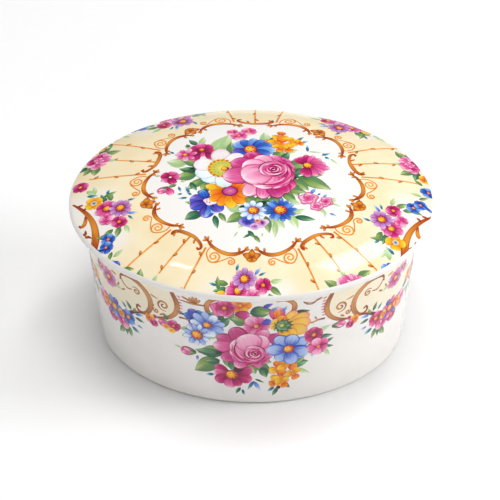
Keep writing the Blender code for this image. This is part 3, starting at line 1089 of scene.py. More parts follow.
def bouquet_leaves():
    """Leaves and sprigs behind the flowers of the centre bouquet."""
    art = Painting("lid_bouquet_leaves", LID_FACE, 21)
    art.move(*BOUQUET_AT, BOUQUET_TURN)
    art.leaves([
        (-13, 15.5, 62, 11.5, 4.2, "wash"), (-9.5, 16, 75, 10, 3.6, "wash"),
        (-6.2, 13.6, 98, 7, 3.4, "leaf"), (-16.2, 19.5, 70, 5.0, 2.2, "wash"),
        (-17, 19.5, 125, 4.4, 2.0, "sage"), (-18.5, 17.5, 140, 3.4, 1.6, "wash"),
        (4.0, 19.5, 95, 7.0, 3.6, "wash"), (5.0, 20.0, 60, 5.0, 2.4, "sage"),
        (12.5, 21.0, 55, 4.6, 1.2, "sage"), (13.8, 20.5, 25, 3.4, 1.0, "teal"),
        (9.5, 15.6, 8, 4.2, 2.6, "wash"), (6.4, 12.0, 62, 5.2, 3.4, "leaf"),
        (8.5, 9.5, 70, 6.5, 2.6, "sage"), (10.3, 8.0, 12, 6.0, 5.0, "leaf"),
        (10.8, 3.2, 42, 6.4, 3.4, "sage"), (13.2, 2.6, -22, 11.2, 5.2, "leaf"),
        (12.0, 1.5, -48, 6.8, 3.6, "leaf"), (10.6, -0.5, -62, 6.6, 4.0, "leaf"),
        (9.5, -3.0, -10, 6.5, 3.4, "leaf"), (14.4, 3.0, 6, 6.6, 2.2, "sage"),
        (-2.6, -6.0, -58, 6.0, 3.6, "leaf"), (2.0, -6.5, -80, 5.0, 4.4, "leaf"),
        (5.5, -6.5, -62, 5.6, 4.6, "leaf"), (9.0, -5.0, -50, 5.5, 3.2, "leaf"),
        (10.5, -8.5, -20, 3.8, 2.0, "wash"), (-3.4, -12.6, 172, 4.4, 3.6, "wash"),
        (-2.6, -14.6, -152, 6.4, 3.8, "leaf"), (-1.8, -16.8, -125, 4.6, 2.4, "wash"),
        (3.6, -15.6, -80, 7.0, 2.6, "leaf"), (5.6, -15.2, -62, 6.4, 3.2, "wash"),
        (6.2, -17.6, -82, 6.6, 1.9, "wash"), (10.8, -14.2, -72, 6.6, 2.8, "wash"),
        (11.0, -14.6, 30, 5.0, 2.2, "wash"), (12.2, -15.6, -8, 6.2, 2.3, "sage"),
        (-13.8, -10.4, 168, 6.8, 2.6, "leaf"), (-14.8, -12.6, -118, 3.8, 1.8, "leaf"),
        (-15.8, -13.2, -142, 5.4, 3.8, "sage"), (-11.6, -15.0, -78, 5.6, 1.9, "sage"),
        (-10.2, -14.0, -60, 4.4, 1.8, "leaf"), (-20.0, 9.6, 165, 6.4, 4.8, "wash"),
        (-16.5, 8.0, 140, 7.4, 3.0, "leaf"), (-16.6, 5.4, 158, 6.0, 3.2, "sage"),
        (-17.0, 4.0, -172, 6.6, 4.4, "leaf"), (-15.6, 6.0, 178, 5.4, 2.0, "pine"),
        (-14.6, 2.0, -135, 7.4, 3.2, "leaf"), (-13.6, 0.2, -118, 4.6, 3.2, "leaf"),
        (-18.8, 0.4, -70, 4.4, 1.8, "sage"), (-23.0, -0.4, -160, 3.0, 1.5, "leaf"),
        (-28.0, 4.4, 160, 1.6, 1.2, "wash"), (-26.6, 2.2, -160, 1.4, 1.0, "teal"),
        (-21.8, 1.2, -10, 1.8, 1.2, "wash"), (-24.0, 15.6, 130, 1.9, 0.9, "teal"),
        (-19.5, 18.6, 110, 2.0, 1.4, "sage"), (-22.4, -1.4, -72, 2.6, 0.9, "teal"),
        (-19.0, -4.6, 118, 3.2, 1.0, "teal"), (-21.2, -4.9, 175, 1.5, 0.9, "teal"),
        (-19.6, -6.8, 178, 2.8, 1.0, "teal"), (-18.4, -5.6, 140, 2.0, 0.9, "teal"),
        (16.4, 16.0, 92, 3.6, 1.0, "teal"), (16.6, 16.0, 4, 4.0, 0.7, "wash"),
        (20.6, 14.4, 28, 3.2, 1.0, "teal"), (21.6, 13.8, -48, 1.8, 1.1, "teal"),
        (23.2, 13.0, -50, 3.4, 0.7, "wash"), (21.2, 14.8, 90, 1.2, 0.7, "sky"),
        (17.0, -5.2, 60, 3.4, 1.2, "sky"), (19.2, -5.6, 50, 1.4, 0.7, "cobalt"),
        (20.8, -6.6, 55, 2.2, 0.9, "sky"), (23.0, -8.4, 62, 2.6, 1.8, "wash"),
        (23.2, -8.6, -30, 3.4, 0.7, "wash"), (19.6, -11.2, -52, 3.6, 1.3, "wash"),
        (21.2, -12.6, -92, 2.8, 0.6, "wash"), (22.6, -13.2, -28, 2.2, 0.8, "sky"),
        (14.4, -6.2, -100, 2.4, 1.4, "wash"), (-1.6, -21.6, -50, 3.4, 1.5, "sage"),
        (-0.8, -22.8, -140, 2.8, 1.0, "sage"), (0.2, -23.4, -60, 3.4, 1.4, "leaf"),
        (2.6, -22.6, -90, 1.4, 0.6, "wash"), (-4.6, -22.0, -120, 2.6, 0.5, "wash"),
    ])
    for x, y, size in (
        (8.0, 10.6, 2.4), (12.0, 2.2, 1.6), (2.6, -10.4, 2.3), (5.0, -10.8, 1.8), (-15.0, -4.6, 1.8),
        (-13.0, 1.0, 1.6), (-4.2, -8.6, 1.6), (-18.2, 7.0, 1.3), (-2.8, -11.6, 1.4),
    ):
        art.disc(x, y, size, "pine", 0.7, 30, 3, 0.15)
    return art


def bouquet_flowers():
    """The bouquet's flowers, from the ones at the back to the ones in front."""
    art = Painting("lid_bouquet_flowers", LID_FACE, 22)
    art.move(*BOUQUET_AT, BOUQUET_TURN)
    for x, y, size in ((-4.4, 24.4, 2.9), (-1.4, 27.2, 2.5), (-6.4, 26.8, 1.9)):
        art.flower(x, y, size, 5, ["rose", "cup"], 20 * size, broad=1.2, heart=0.2)
    for x, y, size, turn in (
        (8.2, 24.6, 2.0, 80), (10.0, 17.6, 2.0, -60), (11.8, 21.2, 2.1, 0), (13.4, 20.8, 1.5, -20),
        (5.6, 20.4, 2.0, 160), (7.6, 20.4, 2.4, 60), (8.2, 17.4, 1.7, -90),
    ):
        bell_cluster(art, [(x, y, size, turn)])
    art.flower(-15.6, 16.6, 4.2, 6, ["carmine", "rose", "carmine"], 40, broad=1.15, heart=0.2)
    art.petal(-16.4, 16.0, -112, 4.6, 3.6, "carmine", start=0.8)
    art.petal(-14.6, 16.0, -60, 4.4, 3.0, "carmine", start=0.8)
    art.eye(-15.6, 16.8, 0.8)
    art.flower(-20.5, 14.4, 3.4, 7, ["rose", "cup"], 12, broad=0.85, heart=0.24)
    blossom(art, -24.9, 3.4, 3.1, ["rose", "carmine"], 72, eye=None)
    art.petal(-24.6, 2.6, -75, 2.8, 2.8, "carmine")
    bud(art, -25.4, -1.2, -142, 4.0, 3.0)
    art.petal(-25.6, -1.6, -70, 3.6, 2.6, "rose")
    rows = (
        (165, 5.4, 4.8, "violet"), (205, 5.6, 4.4, "violet"), (118, 5.0, 3.2, "cobalt"),
        (-100, 6.6, 4.6, "violet"), (-72, 5.0, 3.8, "sky"), (-52, 5.2, 4.0, "violet"),
    )
    art.petals(-13.0, -8.8, rows, start=0.7)
    art.petal(-12.8, -10.6, -104, 4.6, 1.7, "sky", start=0.6)
    art.disc(-12.8, -9.0, 2.0, "white", 0.8, -20, 4, 0.12)
    art.dots(-13.2, -8.8, 0.75, 5, 0.26, "carmine")
    art.disc(-1.7, -18.0, 2.3, "violet", 1.15, 70, 3, 0.12)
    art.disc(2.6, -18.4, 2.0, "lilac", 0.9, 20, 3, 0.12)
    art.disc(0.4, -20.0, 1.5, "lilac", 0.9)
    art.flower(0.0, -13.2, 4.5, 9, "frost", 10, broad=0.95, heart=0.34)
    art.disc(1.2, -17.7, 0.85, "orange", 0.9)
    art.disc(1.2, -17.7, 0.5, "carmine", 0.9)
    art.flower(8.0, -12.9, 5.1, 13, ["cobalt", "sky", "cobalt", "cobalt"], 6, broad=1.0, heart=0.34)
    for x, y, r, turn in ((16.4, -7.4, 3.0, 20), (21.6, -8.4, 2.3, 50), (18.8, -10.8, 2.0, 0)):
        art.disc(x, y, r, "carmine", 0.9, turn, 5, 0.12)
        art.disc(x - 0.1, y + 0.1, r * 0.84, "rose", 0.85, turn, 5, 0.14)
        for k in range(4):
            a = math.radians(turn + 90 * k)
            art.ring(
                x + r * 0.3 * math.cos(a), y + r * 0.3 * math.sin(a), r * 0.36, 90 * k, 90 * k + 200,
                0.28, "carmine",
            )
    rows = (
        (118, 4.4, 4.0, "carmine"), (140, 4.6, 2.4, "carmine"), (92, 5.2, 2.4, "carmine"),
        (70, 5.4, 2.3, "rose"), (42, 5.2, 2.6, "rose"), (16, 5.4, 2.6, "rose"), (-8, 6.4, 3.0, "rose"),
        (-36, 5.6, 3.0, "rose"), (-62, 5.4, 3.0, "rose"), (-90, 5.4, 3.0, "carmine"),
        (-108, 4.6, 2.4, "carmine"),
    )
    art.petals(16.2, 8.6, rows, stretch=0.98, start=0.6)
    art.eye(16.4, 8.6, 1.45)
    rows = (
        (138, 5.6, 5.2, "sky"), (112, 5.6, 3.2, "cobalt"), (80, 6.0, 3.0, "sky"),
        (55, 6.4, 3.0, "cobalt"), (28, 6.6, 3.6, "cobalt"), (-2, 6.8, 4.6, "sky"),
        (-24, 5.8, 3.6, "cobalt"), (196, 5.0, 3.8, "violet"), (226, 4.2, 3.0, "cobalt"),
        (262, 3.8, 3.0, "cobalt"),
    )
    art.petals(-0.9, 16.2, rows, start=0.7)
    art.eye(-0.9, 16.3, 1.75, squash=1.2)
    rows = (
        (158, 6.6, 3.2, "yellow"), (186, 5.0, 2.8, "orange"), (214, 6.0, 3.4, "orange"),
        (244, 6.0, 3.4, "orange"), (274, 6.4, 4.0, "yellow"), (306, 5.8, 3.6, "orange"),
        (336, 4.6, 3.2, "orange"), (20, 4.8, 3.6, "orange"), (60, 4.2, 3.4, "orange"),
        (100, 4.6, 3.4, "orange"), (130, 5.0, 3.2, "yellow"),
    )
    art.petals(-7.0, -4.6, rows, start=1.2)
    art.disc(-7.0, -4.6, 2.5, "shadow", 0.9)
    art.disc(-7.0, -4.6, 2.1, "pinkeye", 0.9)
    return art


def bouquet_anemone():
    """The white anemone: broad petals shaded pink above and blue below, red stamens and a lime boss."""
    art = Painting("lid_bouquet_anemone", LID_FACE, 23)
    art.move(*BOUQUET_AT, BOUQUET_TURN)
    x, y = -9.6, 6.5
    rows = (
        (232, 7.4, 6.0, "ice"), (200, 7.4, 6.4, "ice"), (158, 8.0, 6.2, "white"),
        (92, 9.2, 6.0, "white"), (50, 8.6, 5.6, "white"), (278, 8.6, 5.6, "ice"),
        (18, 7.2, 5.0, "white"),
    )
    art.petals(x, y, rows, start=0.8, notch=0.05)
    art.disc(x, y, 3.9, "orange", 1.12, 0, 18, 0.07)
    art.dots(x, y, 3.65, 17, 0.42, "scroll", 1.12)
    art.disc(x, y, 3.05, "lime", 1.14)
    art.dots(x, y, 2.3, 13, 0.22, "leaf", 1.12)
    art.disc(x + 1.0, y - 0.4, 1.15, "amber", 1.0)
    art.disc(x + 0.7, y - 0.1, 0.55, "yellow", 1.0)
    art.ring(x + 1.0, y - 0.4, 1.0, -80, 60, 0.6, "shadow")
    return art


def bouquet_rose():
    """The big rose in the middle, in front of everything else."""
    art = Painting("lid_bouquet_rose", LID_FACE, 24)
    art.move(*BOUQUET_AT, BOUQUET_TURN)
    guards = (
        (120, 9.2, 6.4, "carmine"), (152, 9.6, 7.2, "deep"), (190, 11.0, 8.2, "rose"),
        (318, 8.2, 6.0, "carmine"), (240, 10.6, 5.6, "cup"), (263, 10.2, 5.0, "rose"),
        (286, 10.0, 5.8, "deep"), (302, 9.0, 5.2, "carmine"),
    )
    big_rose(art, 4.2, 4.3, 8.2, guards)
    return art


# ---------------------------------------------------------------- the wall's decoration


def panel_low(along):
    """Height of the cream panel's lower edge at this length from the front's middle."""
    lengths = 22.8, 23.6, 25.0, 28.0, 32.0, 36.0, 41.0, 47.0, 54.0, 60.0, 66.0, 72.6
    heights = 40.5, 35.0, 32.2, 30.0, 28.9, 28.4, 27.0, 26.6, 28.4, 31.0, 32.4, 33.0
    return float(np.interp(along, lengths, heights))


def cream_panels():
    """Cream ground of the side panels, from the lip down to the garland."""
    art = Painting("base_cream_panels", WALL_FACE, 31)
    half = WALL_FACE.round / 2
    for start in (0.0, half):
        ends = (22.8, 26.0), (26.6, half - 26.6), (half - 26.0, half - 22.8)
        lengths = np.concatenate([np.linspace(*end, count) for end, count in zip(ends, (8, 110, 8))])
        rows = []
        for along in lengths:
            low = panel_low(min(along, half - along))
            heights = low + (WALL_FACE.high - low) * np.linspace(0, 0.999, 14)
            rows.append([(start + along, height) for height in heights])
        art.sheet(np.array(rows), "cream")
    return art


def each_quarter(art):
    """Moves the brush to the right and left of the front and of the back."""
    for start in (0.0, WALL_FACE.round / 2):
        for mirror in (False, True):
            art.move(start, 0.0, 0.0, mirror)
            yield mirror


def wall_scrolls():
    """Two nested C-scrolls at each end of the side panels, spirals inside them, and a taper below."""
    art = Painting("base_scrolls", WALL_FACE, 32)
    for _ in each_quarter(art):
        art.stroke(
            [
                (25.0, 43.6), (24.0, 41.0), (23.1, 38.6), (23.0, 36.0), (24.0, 33.4), (26.2, 31.2),
                (29.0, 29.9), (32.2, 29.4),
            ],
            (1.0, 1.5, 1.8, 1.8, 1.6, 1.4, 1.1, 0.3), "tan",
        )
        art.stroke(
            [
                (43.8, 38.0), (43.2, 40.2), (40.4, 41.2), (37.0, 41.0), (34.0, 39.0), (32.4, 36.0),
                (32.5, 32.4), (34.2, 29.6), (36.4, 28.9), (37.8, 30.0), (37.2, 31.4), (36.2, 30.8),
            ],
            (0.5, 0.9, 1.2, 1.5, 1.8, 1.9, 1.8, 1.5, 1.0, 0.8, 0.9, 0.6), "tan",
        )
        art.stroke(spiral(27.6, 35.6, 2.3, 1.6, 250, 1), (0.2, 0.75, 0.7, 0.6, 0.5), "tan", 0.4)
        art.stroke([(29.4, 37.6), (31.0, 38.0), (32.0, 38.4)], (0.2, 0.6, 0.2), "tan")
        art.stroke(spiral(30.4, 32.4, 1.1, 1.3, 60, -1), (0.2, 0.6, 0.6, 0.5), "tan", 0.3)
        art.stroke(spiral(37.4, 36.8, 1.6, 1.4, 30, 1), (0.2, 0.7, 0.6, 0.5), "tan", 0.4)
        art.stroke([(39.0, 36.6), (41.0, 36.2), (42.6, 37.4), (43.4, 39.2)], (0.3, 0.6, 0.6, 0.2), "tan")
        for x, y, turn, length in (
            (29.2, 31.2, 150, 1.6), (31.4, 33.6, 100, 1.2), (42.0, 35.0, -30, 2.0),
            (44.6, 36.2, -60, 2.2), (45.6, 38.6, 10, 2.4), (46.2, 35.6, -20, 2.0),
        ):
            art.petal(x, y, turn, length, 0.8, "tan")
        art.stroke(
            [(35.6, 28.8), (38.4, 27.9), (41.0, 26.2), (43.6, 25.0), (46.6, 24.8)],
            (0.5, 1.2, 1.3, 1.0, 0.3), "shadow",
        )
        art.stroke([(35.8, 29.0), (38.4, 28.2), (40.6, 27.0)], (0.3, 0.5, 0.2), "scroll")
        for k in range(7):
            art.petal(22.2 + 0.16 * abs(k - 3), 34.2 + 1.2 * k, 185 + 4 * k, 1.2, 0.4, "rose")
        art.stroke([(19.5, 40.6), (18.2, 40.0), (16.8, 40.2), (15.4, 41.2)], (0.3, 0.9, 0.9, 0.3), "tan")
        art.stroke([(22.6, 32.6), (20.4, 32.6), (18.6, 32.0), (16.6, 32.6)], (0.7, 0.6, 0.6, 0.2), "tan")
        art.petal(19.2, 40.8, 20, 2.2, 0.8, "tan")
        art.petal(20.0, 33.0, 120, 1.4, 0.6, "scroll")
        art.disc(31.0, 29.6, 0.9, "carmine", 0.9)
    return art


def wall_garlands():
    """Flowers strung under the side panels, and the purple sprays that lie on the cream."""
    art = Painting("base_garlands", WALL_FACE, 33)
    for mirror in each_quarter(art):
        art.leaves([
            (50.0, 36.8, 20, 8.0, 1.6, "wash"), (53.0, 35.0, -12, 7.0, 1.4, "wash"),
            (46.4, 34.6, -160, 3.0, 1.2, "wash"), (40.4, 27.6, 60, 3.4, 1.5, "sage"),
            (39.4, 27.0, 110, 2.6, 1.2, "leaf"), (42.6, 27.0, 50, 2.8, 1.1, "teal"),
            (39.0, 25.2, 185, 3.6, 1.2, "sage"), (38.8, 26.6, 160, 3.4, 1.0, "sky"),
            (41.0, 20.4, -160, 3.4, 1.5, "teal"), (42.6, 19.6, -110, 4.0, 2.0, "leaf"),
            (44.6, 18.6, -58, 4.8, 2.2, "leaf"), (43.6, 19.0, -84, 3.6, 1.4, "sage"),
            (56.0, 26.8, 20, 5.6, 2.2, "sage"), (57.0, 24.8, -20, 4.6, 1.8, "wash"),
            (60.0, 27.6, 60, 3.6, 1.6, "leaf"), (64.0, 25.0, -70, 5.6, 2.4, "sage"),
            (61.6, 25.0, -110, 4.8, 2.0, "leaf"), (67.6, 26.0, -60, 5.0, 2.2, "leaf"),
            (38.4, 22.4, 190, 2.2, 0.8, "sky"),
        ])
        first, second = ("carmine", "rose") if not mirror else ("cobalt", "sky")
        art.flower(45.0, 20.6, 3.1, 5, ["rose", "cup"], 20, broad=1.15, heart=0.2, eye=None)
        art.flower(50.2, 20.4, 2.9, 5, ["carmine", "rose"], 50, broad=1.15, heart=0.2)
        art.flower(54.6, 23.8, 3.4, 6, ["rose", "cup"], 10, broad=1.15, heart=0.2, eye=None)
        art.flower(42.2, 23.6, 3.0, 5, [first, second], 12, broad=1.1, heart=0.3)
        art.flower(48.8, 24.0, 4.2, 7, ["violet", second], 8, broad=1.0, heart=0.34)
        art.flower(52.6, 24.0, 2.3, 5, ["yellow", "orange"], 30, broad=1.1, heart=0.3)
        art.flower(45.4, 23.4, 1.6, 5, ["orange", "yellow"], 0, broad=1.1, heart=0.3)
        art.flower(50.0, 35.2, 4.3, 9, ["lilac", "rose"], 5, broad=1.05, heart=0.26, squash=0.85)
        art.flower(54.2, 36.6, 2.4, 5, ["lilac", "cup"], 30, broad=1.1, heart=0.26)
        art.flower(64.5, 29.0, 4.2, 8, ["lilac", "violet"], 10, broad=1.05, heart=0.3)
        art.flower(69.6, 27.0, 3.2, 5, ["rose", "cup"], 15, broad=1.15, heart=0.2)
        art.flower(60.0, 29.6, 2.6, 5, ["yellow", "orange"], 25, broad=1.1, heart=0.24)
        bud(art, 25.2, 28.4, -4, 4.8, 3.0)
        art.flower(32.8, 28.0, 2.0, 5, ["orange", "yellow"], 40, broad=1.1, heart=0.2)
        blossom(art, 31.6, 26.8, 1.6, ["carmine", "rose"], 10, eye=None)
    return art


def wall_bouquet(name, start, seed):
    """The bouquet on the front or the back: a rose with daisies, a poppy and bells round it."""
    art = Painting(name, WALL_FACE, seed)
    art.move(start, 0.0)
    for points in (
        [(-9.0, 43.2), (-12.2, 42.0), (-13.6, 39.6), (-13.0, 37.0), (-11.0, 35.6)],
        [(7.2, 42.6), (10.4, 42.8), (12.6, 41.0), (12.7, 38.6), (11.4, 36.8), (9.4, 36.4)],
    ):
        art.stroke(points, (0.6, 1.4, 1.7, 1.5, 0.6), "tan")
    art.stroke([(-21.6, 40.0), (-18.0, 39.5), (-14.0, 39.6)], (0.3, 0.7, 0.4), "tan")
    for turn in (40, 70, 100, 130, 155):
        art.petal(-17.4, 39.8, turn, 2.6, 0.9, "tan")
    art.leaves([
        (-8.0, 34.6, 150, 6.0, 2.6, "sage"), (-9.0, 36.8, 20, 4.4, 2.6, "pine"),
        (-6.0, 34.6, 70, 3.2, 3.0, "leaf"), (-1.6, 34.0, 165, 5.0, 3.8, "leaf"),
        (-8.6, 30.2, 215, 7.0, 2.8, "wash"), (-9.6, 31.6, 55, 5.4, 2.6, "sage"),
        (-0.6, 38.0, 15, 7.0, 4.8, "sage"), (1.0, 39.4, -8, 5.0, 3.2, "leaf"),
        (11.8, 36.4, 4, 5.8, 3.0, "pine"), (13.0, 36.0, 14, 4.6, 1.8, "sage"),
        (-17.0, 33.6, 172, 6.6, 1.0, "pine"), (-22.4, 28.0, 20, 4.6, 1.8, "wash"),
        (-26.6, 30.0, 112, 2.8, 1.4, "sage"), (-22.0, 25.2, 30, 3.0, 1.6, "wash"),
        (-8.6, 22.4, 195, 9.0, 4.4, "leaf"), (-9.2, 20.4, 182, 8.6, 3.6, "sage"),
        (-10.2, 18.0, 212, 10.2, 5.8, "leaf"), (-10.0, 17.6, 198, 5.0, 2.4, "sage"),
        (-8.6, 20.0, -62, 6.4, 3.4, "leaf"), (-6.4, 18.6, -78, 5.6, 3.2, "sage"),
        (-3.8, 19.0, -92, 6.0, 3.4, "leaf"), (-2.6, 18.6, -56, 6.8, 3.4, "sage"),
        (-0.6, 19.0, -72, 6.4, 3.0, "leaf"), (1.2, 19.0, -18, 5.2, 3.6, "leaf"),
        (1.6, 17.4, -48, 6.4, 3.6, "leaf"), (3.0, 15.6, -64, 4.6, 3.0, "sage"),
        (11.6, 15.6, 12, 6.4, 3.8, "sage"), (12.4, 16.0, 20, 4.8, 2.2, "leaf"),
        (13.4, 14.0, -24, 6.0, 1.6, "wash"), (20.6, 27.6, 26, 4.4, 1.5, "wash"),
        (20.8, 25.4, -8, 4.8, 1.8, "sage"), (22.6, 22.2, 20, 3.8, 1.4, "sage"),
        (23.0, 21.0, -20, 3.4, 1.2, "sage"), (22.8, 20.0, -52, 4.0, 1.6, "wash"),
        (20.0, 19.4, 230, 2.0, 0.8, "sky"), (-12.0, 11.6, 192, 2.8, 1.2, "teal"),
        (-17.2, 18.4, -100, 2.2, 1.0, "sky"), (0.4, 9.6, -112, 4.0, 1.2, "teal"),
        (0.4, 9.8, -56, 4.6, 1.4, "sky"), (1.0, 10.6, -26, 3.4, 0.8, "sage"),
        (-3.6, 7.0, -120, 3.2, 1.2, "sage"), (-3.0, 6.2, -80, 2.6, 1.0, "teal"),
        (7.2, 7.0, 222, 2.8, 1.2, "teal"), (8.2, 6.8, -108, 3.8, 1.5, "sage"),
        (10.0, 8.6, -50, 3.4, 1.7, "sage"), (-22.6, 20.0, 165, 2.4, 0.8, "wash"),
    ])
    for x, y, size in (
        (-9.6, 37.0, 2.0), (-10.2, 21.0, 1.6), (3.4, 35.0, 1.2), (15.0, 36.2, 1.6), (12.8, 26.9, 1.2),
        (-6.6, 20.4, 1.4),
    ):
        art.disc(x, y, size, "pine", 0.8, 20, 3, 0.15)
    art.petal(7.6, 34.6, 90, 5.6, 5.0, "rose")
    art.petal(7.6, 35.0, 90, 4.4, 2.4, "orange")
    art.leaves([
        (6.0, 38.8, 40, 2.6, 1.0, "sky"), (9.2, 38.4, 50, 2.4, 1.0, "sky"),
        (3.2, 40.4, 20, 3.4, 1.6, "violet"),
    ])
    art.flower(-3.4, 41.2, 3.4, 6, ["orange", "yellow"], 0, broad=1.1, heart=0.22)
    art.disc(-8.6, 39.4, 3.9, "carmine", 0.85, 20, 5, 0.1)
    art.flower(-8.2, 39.8, 3.4, 5, ["carmine", "rose"], 30, broad=1.15, heart=0.22)
    art.petal(-5.0, 37.6, -4, 4.4, 3.6, "deep")
    art.flower(-17.0, 34.0, 3.8, 6, ["cobalt", "violet"], 60, broad=1.05, heart=0.2)
    art.flower(-13.6, 31.9, 5.8, 9, ["edged", "frost", "edged"], 14, broad=1.0, heart=0.22, squash=0.9)
    art.flower(-17.0, 27.2, 4.6, 11, ["frost", "edged"], 6, broad=1.0, heart=0.36)
    art.flower(-24.6, 28.4, 2.4, 5, ["carmine", "rose"], 12, broad=1.1, heart=0.2)
    art.disc(-27.2, 27.2, 1.1, "orange", 0.9)
    art.disc(-25.4, 26.2, 1.3, "yellow", 0.8)
    bud(art, -17.6, 19.6, 184, 5.2, 3.6)
    rows = (
        (148, 5.2, 3.4, "carmine"), (172, 4.8, 3.2, "rose"), (212, 5.2, 4.0, "carmine"),
        (262, 4.6, 4.2, "rose"), (300, 4.4, 3.2, "carmine"), (342, 5.8, 4.0, "carmine"),
        (22, 6.0, 4.0, "carmine"), (50, 5.0, 3.0, "shadow"),
    )
    art.petals(-6.4, 12.2, rows, start=1.0)
    art.eye(-6.4, 12.2, 1.9)
    bell_cluster(
        art,
        [
            (8.2, 15.0, 2.2, 90), (11.2, 15.6, 2.4, -30), (13.4, 11.8, 2.0, -60), (9.0, 11.2, 2.3, 80),
            (7.9, 9.0, 1.9, 210), (9.8, 8.8, 1.8, -70),
        ],
    )
    art.disc(8.6, 6.8, 0.7, "shadow")
    rows = (
        (56, 6.4, 3.8, "poppy"), (24, 8.6, 4.2, "poppy"), (2, 8.4, 4.8, "poppy"),
        (-24, 8.0, 4.6, "poppy"), (-54, 5.8, 4.4, "yellow"), (-84, 4.6, 3.6, "yellow"),
        (100, 3.8, 3.6, "orange"), (140, 3.6, 3.0, "yellow"), (178, 3.6, 2.6, "yellow"),
    )
    art.petals(9.5, 32.4, rows, stretch=0.93, start=0.8)
    art.disc(9.5, 32.4, 2.6, "pine", 0.95, 0, 11, 0.10)
    art.dots(9.5, 32.4, 3.0, 12, 0.24, "pine", 0.95)
    art.disc(9.5, 32.5, 1.9, "sage", 0.95, 0, 5, 0.08)
    for turn in range(0, 360, 60):
        art.petal(9.5, 32.5, turn, 1.8, 0.8, "leaf", start=0.3)
    art.disc(9.1, 32.7, 0.7, "lime", 0.95)
    art.flower(1.4, 32.8, 4.2, 5, ["rose", "cup"], 54, broad=1.2, heart=0.2)
    art.petal(3.0, 33.8, 20, 3.0, 2.4, "violet")
    art.dots(1.4, 32.4, 1.1, 5, 0.26, "carmine")
    guards = (
        (28, 8.8, 5.4, "deep"), (60, 7.2, 5.0, "rose"), (156, 9.6, 5.2, "deep"),
        (176, 9.8, 4.8, "rose"), (124, 8.4, 6.0, "deep"), (206, 8.4, 5.0, "deep"),
        (240, 7.0, 5.0, "rose"), (290, 6.0, 5.0, "deep"),
    )
    big_rose(art, -0.2, 23.2, 6.7, guards, -96)
    art.flower(11.4, 22.8, 6.6, 7, "edged", 26, broad=1.12, heart=0.24, squash=0.94)
    art.flower(19.3, 26.8, 3.2, 5, "carmine", 18, broad=1.15, heart=0.24)
    art.flower(21.0, 21.6, 3.6, 5, ["rose", "cup"], 40, broad=1.15, heart=0.18)
    return art


# ---------------------------------------------------------------- stage


def softbox(name, place, aim, width, depth, power, along=(1.0, 0.0, 0.0)):
    """A rectangular light that faces the aim, its width lying along the given direction."""
    light = bpy.data.lights.new(name, "AREA")
    light.shape = "RECTANGLE"
    light.size, light.size_y = width, depth
    light.energy = power
    obj = bpy.data.objects.new(name, light)
    obj.location = place
    back = (Vector(place) - Vector(aim)).normalized()
    rise = back.cross(Vector(along)).normalized()
    obj.rotation_mode = "QUATERNION"
    obj.rotation_quaternion = Matrix((rise.cross(back), rise, back)).transposed().to_quaternion()
    bpy.context.scene.collection.objects.link(obj)
    return obj


def studio_floor():
    """A wide sheet of matt white board."""
    bpy.ops.mesh.primitive_plane_add(size=6.0, location=(0.0, 0.0, -0.0001))
    floor = bpy.context.active_object
    floor.name = "studio_floor"
    material, tree, shader = blank("matt white board")
    place = add(tree, "TexCoord").outputs["Object"]
    tooth = add(tree, "TexNoise", {"Vector": place, "Scale": 1 / (2.5 * MM)})
    tone = add(tree, "Mix", {0: tooth, 6: linear("#FCFCFC"), 7: linear("#F9F9F9")}, **COLOURS).outputs[2]
    tree.links.new(tone, shader.inputs["Base Color"])
    shader.inputs["Roughness"].default_value = 0.9
    shader.inputs["Specular IOR Level"].default_value = 0.2
    floor.data.materials.append(material)
    return floor


def studio_camera(settings):
    """A long lens on the near side, looking down at the lid's edge."""
    scene = bpy.context.scene
    data = bpy.data.cameras.new("camera")
    data.lens = settings.lens
    data.sensor_width = 36.0
    data.clip_end = 20.0
    camera = bpy.data.objects.new("camera", data)
    edge = Vector((0.0, 0.0, (SEAT + RIM) * MM))
    across = Vector((math.cos(settings.azimuth), math.sin(settings.azimuth), 0.0))
    rise = Vector((0.0, 0.0, 1.0))
    away = rise.cross(across)
    back = rise * math.sin(settings.elevation) - away * math.cos(settings.elevation)
    up = rise * math.cos(settings.elevation) + away * math.sin(settings.elevation)
    camera.location = edge + back * settings.distance
    aim = edge - up * settings.aim_drop - across * settings.aim_side
    camera.rotation_mode = "QUATERNION"
    camera.rotation_quaternion = (aim - camera.location).to_track_quat("-Z", "Y")
    scene.collection.objects.link(camera)
    scene.camera = camera


def studio_light(settings):
    """Soft light from the right and above, two small lights that the dome mirrors, and a pale room."""
    middle = (0.0, 0.0, 0.035)
    softbox("key_softbox", (0.80, 0.0, 0.45), middle, 0.32, 0.32, settings.key_power, (0.0, 1.0, 0.0))
    overhead = softbox("overhead_fill", (0.0, 0.0, 1.0), middle, 0.60, 0.60, settings.top_power)
    front = softbox("front_fill", (0.0, -0.90, 0.50), middle, 0.50, 0.50, settings.front_power)
    for fill in (overhead, front):
        fill.visible_glossy = False
    front_right = (0.032, -0.029, 0.050)
    softbox(
        "window", (0.32, 0.355, 0.925), front_right, 0.27, 0.14, settings.window_power,
        (0.5, 0.715, -0.5),
    )
    front_left = (-0.020, -0.035, 0.050)
    softbox(
        "left_strip", (-0.242, 0.265, 0.978), front_left, 0.075, 0.02, settings.strip_power,
        (0.79, -0.485, 0.37),
    )
    world = bpy.data.worlds.new("white room")
    world.use_nodes = True
    world.node_tree.nodes["Background"].inputs["Color"].default_value = (1.0, 1.0, 1.0, 1.0)
    world.node_tree.nodes["Background"].inputs["Strength"].default_value = settings.ambient
    bpy.context.scene.world = world


# ---------------------------------------------------------------- operators


